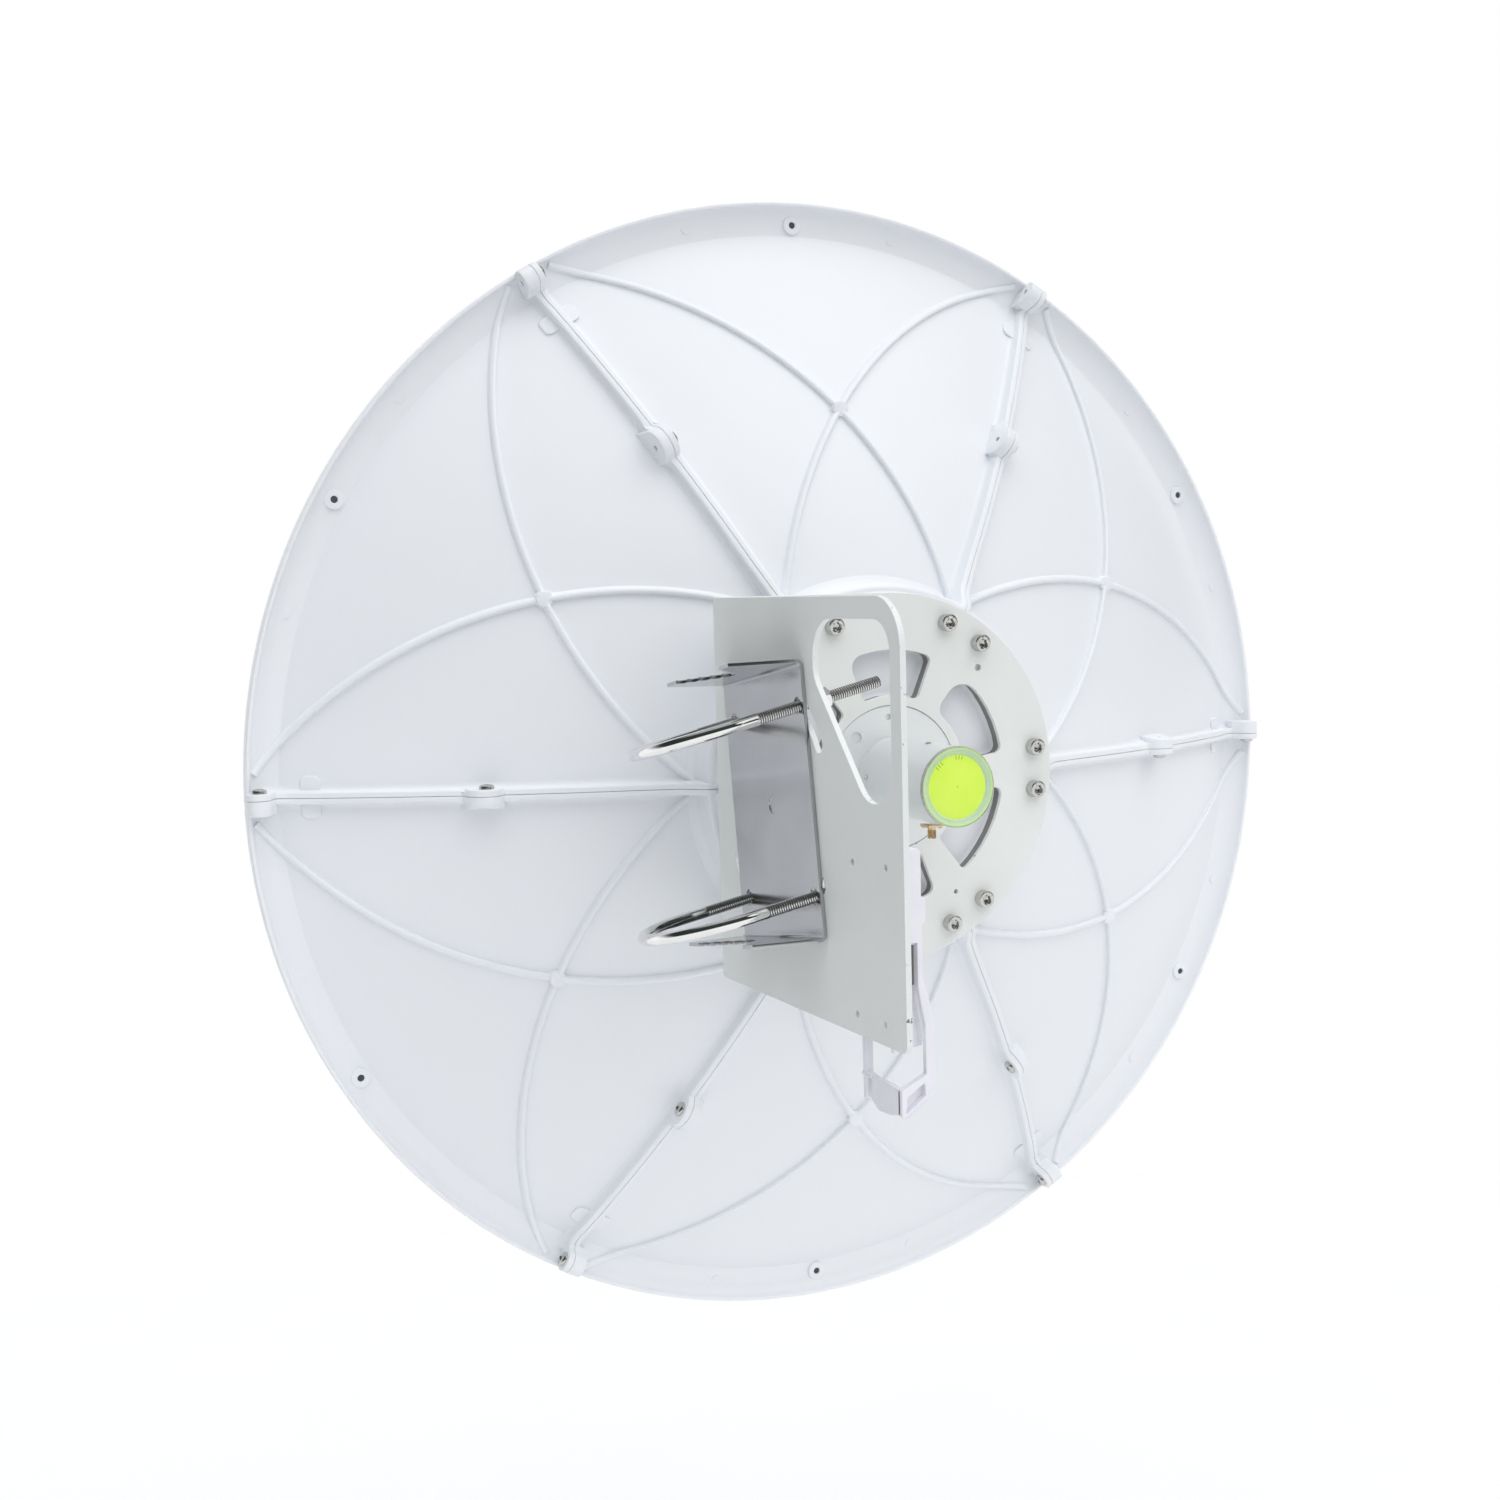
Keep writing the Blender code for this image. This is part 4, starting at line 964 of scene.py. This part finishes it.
def build_feed_cap():
    """Fluorescent cup set in a thin metal rim, its disc 2 mm deep, with three small ticks at two places."""
    cap = bmesh.new()
    for index, profile in enumerate(CAP_PROFILES):
        turned(mm(profile, 0, TUBE_END), 96, cap, closed=profile[0][0] > 0, index=index)
    disc = TUBE_END + CAP_DEPTH
    tick = rounded(mm([(19.3, -0.22, 0.1), (22.2, -0.22, 0.1), (22.2, 0.22, 0.1), (19.3, 0.22, 0.1)]), 2)
    for place in (85, 132):
        for shift in (-6.72, 0.0, 6.72):
            lean = Matrix.Rotation(-math.radians(place + shift), 4, "Y")
            absorb(cap, plate(tick, [], disc - 0.00012, disc + 0.0004, "Y", 0.00004), lean, 4)
    store("feed_end_disc", cap, [SATIN, GREEN_RIM, PALE_RING, GREEN, GREEN_MARK], "antenna",
          ["feed_end_cap"], FEED)


SOCKET_PITCH = 0.00064
SOCKET_DEPTH = 0.0105


def coax_socket():
    """Square flange at the origin and a threaded barrel towards -Z, hollow, with its pin."""
    square = mm([(-6.35, -6.35, 1), (6.35, -6.35, 1), (6.35, 6.35, 1), (-6.35, 6.35, 1)])
    bm = blank(rounded(square), [], -0.002, 0, 0.0003)
    down = Matrix.Rotation(-math.pi / 2, 4, "X")
    for a, b in mm([(-4.4, -4.4), (-4.4, 4.4), (4.4, -4.4), (4.4, 4.4)]):
        absorb(bm, socket_screw(0.0012, 0.0010, 0.0011, 0.0004, 0.0007, 0.0005, 16),
               Matrix.Translation((a, b, -0.002)) @ down @ Matrix.Rotation(math.pi, 4, "X"))
    profile = mm([(3, 1.5), (3, 4)])
    y = 0.0040
    while y < SOCKET_DEPTH - 0.0008:
        profile += mm([(3.18, 0.22), (3.18, 0.32), (2.9, 0.55)], 0, y)
        y += SOCKET_PITCH
    profile += mm([(3, -0.3), (2.8, 0), (2.3, 0), (2.2, -0.3)], 0, SOCKET_DEPTH)
    barrel = turned(profile + mm([(2.2, 1.5)]), 32, closed=True)
    liner = mm([(0, 1.2), (2.3, 1.2)]) + mm([(2.3, -1.6), (1.05, -1.6), (0, -1.6)], 0, SOCKET_DEPTH)
    turned(liner, 32, barrel, index=1)
    pin = mm([(0, 1.2), (0.65, 1.2)]) + mm([(0.65, -1), (0.5, -0.6), (0, -0.6)], 0, SOCKET_DEPTH)
    turned(pin, 20, barrel)
    absorb(bm, barrel, down)
    return bm


def build_sockets():
    """One socket under the tube and one on its far side."""
    low = DISH @ Matrix.Translation((0, -0.2065, -TUBE_RADIUS))
    aside = FEED @ Matrix.Translation((TUBE_RADIUS, -0.180, 0)) @ Matrix.Rotation(-math.pi / 2, 4, "Y")
    for piece, node, place in (("coax_socket_low", "coax_socket_lower", low),
                               ("coax_socket_far", "coax_socket_side", aside)):
        store(piece, coax_socket(), [GILT, WHITE], "antenna", [node], place)


def build_front_feed():
    """Waveguide with its collar, and the moulded sub-reflector at the focus."""
    profile = mm([(0, 4.3), (26.8, 4.3), (27, 4.8), (27, 11.2), (26.6, 12), (22.2, 16.2), (21.4, 17.2),
                  (21, 18.5)], 0, PLUG_FOOT)
    profile += mm([(21, 132), (20.7, 132.4), (20.7, 133.6), (21, 134), (21, 149), (20.7, 149.7), (0, 149.7)])
    store("waveguide_tube", turned(profile, 96), SILVER, "antenna", ["waveguide"])
    profile = mm([(0, 150), (25.5, 150), (26, 150.5), (26.2, 153.5), (26.8, 156.5), (28.5, 161), (31, 166),
                  (34.5, 172), (39, 178), (43, 182.6), (46, 185.8), (47.8, 188), (47.8, 188.8), (49.4, 189.4),
                  (49.9, 190.6), (49.9, 194.4), (49.5, 196.6), (48.3, 198.6), (46, 200.2), (40, 201.9),
                  (30, 203.3), (29, 203.8), (15, 205.2), (0, 205.7)])
    store("sub_reflector_head", turned(profile, 96), WHITE, "antenna", ["sub_reflector"])


# Radio holder, on the side plate's inner face

HOLDER_X = -0.1372
HOLDER_BACK = -0.412
HOLDER_FRONT = -0.352
FOOT_POCKET = [(3.6, -159.7, 0.6), (15.7, -151.9, 0.6), (16, -159.7, 0.6), (3.2, -169.9, 0.6)]
BLOCK_EDGE = [(0, -11, 3), (16.1, -11, 3), (16.1, -40.4, 0.6), (18.8, -40.4, 1), (18.8, -56.4, 1),
              (16.3, -56.4, 0.6)]


def holder_slab(corners, low, high, steps=4, holes=()):
    """Plate of the holder square to Y; its corners are (x from the side plate, z, radius), in millimetres."""
    outline, *holes = [rounded(mm(points, HOLDER_X), steps) for points in (corners, *holes)]
    return plate(outline, holes, low, high, "Y", 0.0007, 2)


def holder_body():
    """Moulded block with the snap mouth below it, the long arm on its rear, and a thin sheet painted dark
    grey as shade inside the arm.
    """
    bm = holder_slab(BLOCK_EDGE + [
        (16.3, -89, 6), (21.3, -106, 6), (23.7, -117, 6), (23.8, -159.7, 1.2), (4, -173.3, 1.6),
        (0, -171, 1.6), (0, -155, 1.2), (17.2, -147, 1), (17.2, -117.5, 4), (15, -107, 4), (12.7, -94, 2),
        (12.7, -67.5, 0.6), (0, -67.5, 0.6)], HOLDER_BACK + 0.0008, HOLDER_BACK + 0.0048, 4, [FOOT_POCKET])
    absorb(bm, holder_slab(BLOCK_EDGE + [
        (17.5, -101, 3), (23.5, -117, 2), (23.5, -128.5, 1), (17.5, -128.5, 1), (12.7, -101, 3),
        (12.7, -69, 1), (0, -69, 0.6)], HOLDER_BACK + 0.0040, HOLDER_FRONT))
    inner_wall = [(0, -94, 1), (13, -94, 1), (20, -120, 2), (20, -132, 1), (0, -135, 1)]
    absorb(bm, holder_slab(inner_wall, -0.4020, -0.3990))
    # Thin sheet painted dark grey as the shade on the arm's inner face behind its window
    absorb(bm, holder_slab([(12, -69, 0), (12.6, -69, 0), (12.6, -93.5, 0), (12, -93.5, 0)],
                           HOLDER_BACK + 0.0055, HOLDER_FRONT - 0.001, 1), index=1)
    return bm


def finger_loop():
    """Post, bar and slanted foot under the block, the foot with a shallow pocket."""
    foot = [(0, -155, 1.2), (17.4, -147, 1), (17.4, -161.2, 1), (1.5, -172.7, 1.6), (0, -171, 1)]
    bm = holder_slab(foot, HOLDER_BACK - 0.0004, HOLDER_BACK + 0.0022, 4, [FOOT_POCKET])
    absorb(bm, holder_slab([(2, -158.5, 0), (16.5, -149, 0), (16.8, -160.2, 0), (2, -171.2, 0)],
                           HOLDER_BACK + 0.0040, HOLDER_BACK + 0.0055, 1))
    absorb(bm, holder_slab([(0, -99, 1), (5.7, -99, 1), (5.7, -156.2, 1), (0, -156.2, 1)], -0.3652, -0.3612))
    bar = rounded(mm([(-410, -155, 0.6), (-410, -170.4, 1), (-397, -173.5, 20), (-382, -174.8, 8),
                      (-372.2, -170, 2), (-372.2, -155, 0.6)]), 8)
    absorb(bm, plate(bar, [], HOLDER_X, HOLDER_X + 0.0045, "X", 0.0008, 2))
    web = rounded(mm([(-373.5, -156, 0), (-373.5, -170, 0), (-365, -170, 0), (-365, -156, 0)]))
    absorb(bm, plate(web, [], HOLDER_X + 0.0022, HOLDER_X + 0.0042, "X", 0.0003))
    rib = rounded(mm([(-367.5, -156, 1), (-366, -171.2, 1.5), (-361.8, -171.2, 1.5), (-361.8, -156, 1)]), 6)
    absorb(bm, plate(rib, [], HOLDER_X - 0.0002, HOLDER_X + 0.0040, "X", 0.0010, 3))
    lip = rounded(mm([(-0.8, -373.5, 1), (5, -373.5, 1), (5.7, -360.6, 1), (-0.8, -360.6, 1)], HOLDER_X), 4)
    absorb(bm, plate(lip, [], -0.1566, -0.1546, "Z", 0.0007, 2))
    return bm


def build_holder():
    bm = holder_body()
    absorb(bm, finger_loop())
    store("radio_clip", bm, [WHITE, WALL_SHADE], "antenna", ["radio_holder"], flat=True)


# Clamp channel, in the row frame

BEND_X = -0.002
BEND_Z = 0.0855
BEND_NEUTRAL = 0.0033
BEND_LENGTH = BEND_NEUTRAL * math.pi / 2


def flange_s(x):
    """Flat coordinate of a place on the channel's flanges."""
    return BEND_Z + BEND_LENGTH + (BEND_X - x)


def channel_bent(y, s, depth):
    """Bends the flat channel's two flanges towards the mast."""
    sign = 1 if s > 0 else -1
    run = abs(s) - BEND_Z
    if run <= 0:
        return (depth, y, s)
    radius = depth - BEND_X
    turn = min(run, BEND_LENGTH) / BEND_NEUTRAL
    x = BEND_X + radius * math.cos(turn) - max(run - BEND_LENGTH, 0.0)
    return (x, y, sign * (BEND_Z + radius * math.sin(turn)))


CHANNEL_SHEET = 0.0025
NOTCHES = 5
NOTCH_RUN = 0.0053
NOTCH_RISE = 0.0077


def flange_edge():
    """Half of a flange's outline, from its end at the web to the middle of its stepped notch, as (x, y)."""
    points = mm([(-4, 67), (-46, 57), (-46, 38)])
    x, y = points[-1]
    for k in range(NOTCHES):
        x += NOTCH_RUN
        points.append((x, y))
        if k < NOTCHES - 1:
            y -= NOTCH_RISE
            points.append((x, y))
    return points


def channel():
    """The channel cut flat with its notched flanges, then bent, and the pivot's button."""
    half = flange_edge()
    radii = [0.002, 0.0015, 0.0008] + [0.0006] * (len(half) - 3)
    edge = [(py, flange_s(px), r) for (px, py), r in zip(half, radii)]
    trim = [0.005, 0.0025] + [0.0] * (len(half) - 2)
    side = edge + [(cut - py, s, r) for (py, s, r), cut in reversed(list(zip(edge, trim)))]
    other = [(py, -s, r) for py, s, r in reversed(side)]
    holes = [circle(0.0058, sides=48)] + [circle(0.0055, place) for place in LEG_HOLES]
    bm = blank(rounded(side + other, 3), holes, 0, CHANNEL_SHEET, 0.0003)
    steps = 8
    places = [BEND_Z + BEND_LENGTH * k / steps for k in range(steps + 1)]
    sliced(bm, 1, places + [-place for place in places])
    reshaped(bm, channel_bent)
    button = mm([(0, 0.9), (5, 0.9), (5.5, 0.8), (6, 0.4), (6, 2.2), (7.2, 2.2), (7.2, 4.2), (6.9, 4.6),
                 (6.6, 4.7), (0, 4.7)])
    absorb(bm, turned(button, 48), Y_TO_X)
    return bm


def build_channel():
    store("notched_channel", channel(), SHEET, "mast_clamp", ["clamp_channel"],
          Matrix.Identity(4), flat=True)


# U-bolts, washers and nuts

ROD = 0.004
THREAD_PITCH = 0.00164
THREAD_DEPTH = 0.00072


def leg_frame(height, droop, y):
    """Frame of a U-bolt's leg: origin where it crosses the sheets, +X along the leg, away from the mast."""
    return Matrix.Translation((0.0034, y, height)) @ Matrix.Rotation(-math.radians(droop), 4, "Y")


def thread_depth(x, turn):
    """Depth of the thread under its crests, at a place along the rod and round it."""
    phase = (x / THREAD_PITCH - turn / (2 * math.pi)) % 1.0
    return THREAD_DEPTH * max(0.0, 1 - abs(phase - 0.5) * 2.5)


def u_bolt(reach, inner_end, threaded):
    """Bent rod in the plane of its legs, threaded from the ends to a place short of the bend, the thread's
    grooves painted dark as shade and dark reflection.
    """
    bend = ROD + LEG_SPAN - reach
    sides = 20
    step = THREAD_PITCH / 8
    count = round((inner_end - threaded) / step)
    path = [(inner_end - step * k, LEG_SPAN, 1, 0, True) for k in range(count + 1)]
    path += [(mix(threaded - 0.0006, bend + 0.0002, k / 6), LEG_SPAN, 1, 0, False) for k in range(7)]
    for turn in range(90, 271, 3):
        along, out = polar(1, turn)
        path.append((bend + LEG_SPAN * along, LEG_SPAN * out, out, -along, False))
    leg = [p for p in path if p[0] > bend - 1e-6 and p[1] > 0]
    path += [(x, -y, -dx, dy, threads) for x, y, dx, dy, threads in reversed(leg[:-1])]
    rings = []
    for x, y, dx, dy, threads in path:
        normal = Vector((-dy, dx, 0))
        ring = []
        for k in range(sides):
            turn = 2 * math.pi * k / sides
            radius = ROD
            if threads:
                radius -= thread_depth(x, turn if y > 0 else -turn)
                radius -= 0.0007 * smooth(inner_end - 0.0009, inner_end, x)
            ring.append(Vector((x, y, radius * math.sin(turn))) + normal * (radius * math.cos(turn)))
        rings.append(ring)
    bm = bmesh.new()
    loft(bm, rings)
    # Faces deep in the thread's grooves take the dark painted shade and reflection
    for face in bm.faces:
        middle = face.calc_center_median()
        if middle.x > threaded and math.hypot(abs(middle.y) - LEG_SPAN, middle.z) < ROD - 0.00025:
            face.material_index = 1
    return bm


def hex_nut():
    """Nut towards +X from the origin, its corners chamfered at both ends, with its bore."""
    flats, tall, sides = 0.013, 0.0065, 72
    steps = [(0.0, flats * 0.485), (0.06, flats * 0.525), (0.11, flats * 0.555), (0.16, flats / math.sqrt(3))]
    rings = []
    for share, limit in steps + [(1 - share, limit) for share, limit in reversed(steps)]:
        scaled = [(a, b, min(1.0, limit / math.hypot(a, b))) for a, b in hexagon(flats, sides)]
        rings.append([(share * tall, a * scale, b * scale) for a, b, scale in scaled])
    for x, size in ((tall, 0.0045), (tall - 0.0005, 0.00412), (0.0005, 0.00412), (0.0, 0.0045)):
        rings.append([(x, a, b) for a, b in circle(size, sides=sides)])
    bm = bmesh.new()
    join_ends(bm, loft(bm, rings + [rings[0]], ends=False))
    return bm


def washer():
    profile = mm([(4.4, 0.2), (4.6, 0), (11.7, 0), (12, 0.3), (12, 1.7), (11.7, 2), (4.6, 2), (4.4, 1.8)])
    bm = turned(profile, 64, closed=True)
    bm.transform(Y_TO_X)
    return bm


def build_u_bolts():
    """Both U-bolts, each with a washer and a nut on either leg."""
    for name, height, droop, reach, inner_end, threaded in (
            ("upper", LEG_HEIGHT, 13.0, 0.101, 0.058, -0.032),
            ("lower", -LEG_HEIGHT, 11.0, 0.104, 0.055, -0.037)):
        store("u_bolt_rod_" + name, u_bolt(reach, inner_end, threaded), [BRIGHT, THREAD_SHADE], "mast_clamp",
              ["u_bolt_" + name], leg_frame(height, droop, 0), sharp=50)
        for number, (end, y) in enumerate((("front", LEG_SPAN), ("rear", -LEG_SPAN))):
            leg = name + "_" + end
            at = leg_frame(height, droop, y) @ Matrix.Translation((0.0103, 0, 0))
            on_washer = at @ Matrix.Translation((0.0023, 0, 0)) @ Matrix.Rotation(0.35 + 0.5 * number, 4, "X")
            store("plain_washer_" + leg, washer(), BRIGHT, "mast_clamp",
                  ["washer_" + leg], at)
            store("hex_nut_" + leg, hex_nut(), BRIGHT, "mast_clamp",
                  ["nut_" + leg], on_washer)


# Setting

# Soft lobes of the diffuse light, as (direction, sharpness, colour)
SKY_LOBES = [
    ((0.0, 0.0, 1.0), 5, (0.95, 0.99, 1.03)),
    ((-0.7, -0.7, 1.0), 5, (0.97, 0.995, 1.03)),
    ((0.55, -0.85, 1.0), 5, (1.90, 1.84, 1.78)),
    ((1.0, 0.0, 1.0), 5, (0.11, 0.12, 0.12)),
    ((0.0, -1.0, 0.1), 5, (0.31, 0.325, 0.35)),
    ((0.4, 1.0, 0.1), 8, (1.30, 1.31, 1.33)),
]
FLOOR_RADIUS = 3.2
FLOOR_PLACE = (0.1, 0.4, -0.95)
ROOM_WHITE = (1.1, 1.1, 1.1)
ROOM_DARK = (0.025, 0.038, 0.034)
WINDOW = (0.42, -0.67, 0.62)
WINDOW_ANGLES = (17, 21)
CAMERA_TURNS = (-23.2749, 5.1289, -1.5135)
CAMERA_AIM = (-0.0519, 0, 0.0133)
CAMERA_DISTANCE = 1.4677
FOCAL_PIXELS = 1811.0
FRAME_PIXELS = 1500


def build_world():
    """White to the camera; diffuse light from a few soft lobes; for reflections a room with a soft window."""
    world = bpy.data.worlds.new("studio")
    bpy.context.scene.world = world
    w = Nodes(world)
    direction = w.nodes.new("ShaderNodeTexCoord").outputs["Generated"]
    rays = w.nodes.new("ShaderNodeLightPath")
    axes = w.nodes.new("ShaderNodeSeparateXYZ")
    w.links.new(direction, axes.inputs[0])

    def vector(operation, first, second):
        return w.operate(operation, first, second, "ShaderNodeVectorMath")

    def toward(place):
        return vector("DOT_PRODUCT", direction, tuple(Vector(place).normalized()))

    def mask(value, low, high, first, last):
        return w.span(value, low, high, first, last, "SMOOTHSTEP")

    def light(colour):
        node = w.nodes.new("ShaderNodeBackground")
        w.links.new(colour, node.inputs["Color"])
        return node

    def choose(switch, first, second):
        node = w.nodes.new("ShaderNodeMixShader")
        for k, output in enumerate((rays.outputs[switch], first.outputs[0], second.outputs[0])):
            w.links.new(output, node.inputs[k])
        return node

    total = None
    for place, sharpness, colour in SKY_LOBES:
        near = w.operate("MULTIPLY", w.operate("SUBTRACT", toward(place), 1.0), float(sharpness))
        tinted = vector("MULTIPLY", w.operate("EXPONENT", near), colour)
        total = vector("ADD", tinted, total) if total else tinted

    full, clear = (math.cos(math.radians(angle)) for angle in WINDOW_ANGLES)
    dark = mask(axes.outputs["Z"], -0.08, -0.03, 0.0, 1.0)
    pale_front = mask(toward((0.0, 1.0, -0.8)), -0.1, 0.3, 1.0, 0.0)
    pale_top = mask(axes.outputs["Z"], 0.80, 0.95, 1.0, 0.6)
    for pale in (pale_front, pale_top, mask(toward(WINDOW), clear, full, 1.0, 0.0)):
        dark = w.operate("MULTIPLY", dark, pale)

    backdrop = w.nodes["Background"]
    backdrop.inputs["Color"].default_value = (1, 1, 1, 1)
    lit = choose("Is Glossy Ray", light(total), light(w.tint(dark, ROOM_WHITE, ROOM_DARK)))
    seen = choose("Is Camera Ray", lit, backdrop)
    w.links.new(seen.outputs[0], w.nodes["World Output"].inputs["Surface"])


def build_setting():
    """Pale round floor, the world's light and a plain view transform."""
    bpy.context.scene.view_settings.view_transform = "Standard"
    build_world()
    bm = bmesh.new()
    bmesh.ops.create_circle(bm, cap_ends=True, segments=96, radius=FLOOR_RADIUS)
    mesh = bpy.data.meshes.new("floor")
    bm.to_mesh(mesh)
    bm.free()
    floor = bpy.data.objects.new("floor", mesh)
    floor.location = FLOOR_PLACE
    finish = Finish("floor_white", (0.95, 0.95, 0.95), 0.9)
    finish.colour(finish.tint(finish.noise(3.0), (0.94, 0.94, 0.94), (0.96, 0.96, 0.96)))
    mesh.materials.append(finish.made)
    bpy.context.scene.collection.objects.link(floor)


def build_camera():
    """The photograph's view, found from the rim, the hub's circle and the seams."""
    azimuth, elevation, roll = (math.radians(turn) for turn in CAMERA_TURNS)
    back = Vector((math.sin(azimuth) * math.cos(elevation), -math.cos(azimuth) * math.cos(elevation),
                   math.sin(elevation)))
    right = (-back).cross(Vector((0, 0, 1))).normalized()
    up = right.cross(-back)
    across = right * math.cos(roll) + up * math.sin(roll)
    upward = -right * math.sin(roll) + up * math.cos(roll)
    turn = Matrix((across, upward, back)).transposed().to_4x4()
    lens = bpy.data.cameras.new("photo_view")
    lens.sensor_width = 36
    lens.lens = 36 * FOCAL_PIXELS / FRAME_PIXELS
    lens.clip_start = 0.05
    lens.clip_end = 200
    camera = bpy.data.objects.new("photo_view", lens)
    bpy.context.scene.collection.objects.link(camera)
    camera.matrix_world = DISH @ Matrix.Translation(Vector(CAMERA_AIM) + back * CAMERA_DISTANCE) @ turn
    bpy.context.scene.camera = camera


build_panels()
build_hub_screws()
build_seam_screws()
build_bracket()
build_feed_flange()
build_feed_tube()
build_feed_cap()
build_sockets()
build_front_feed()
build_holder()
build_channel()
build_u_bolts()
build_setting()
build_camera()
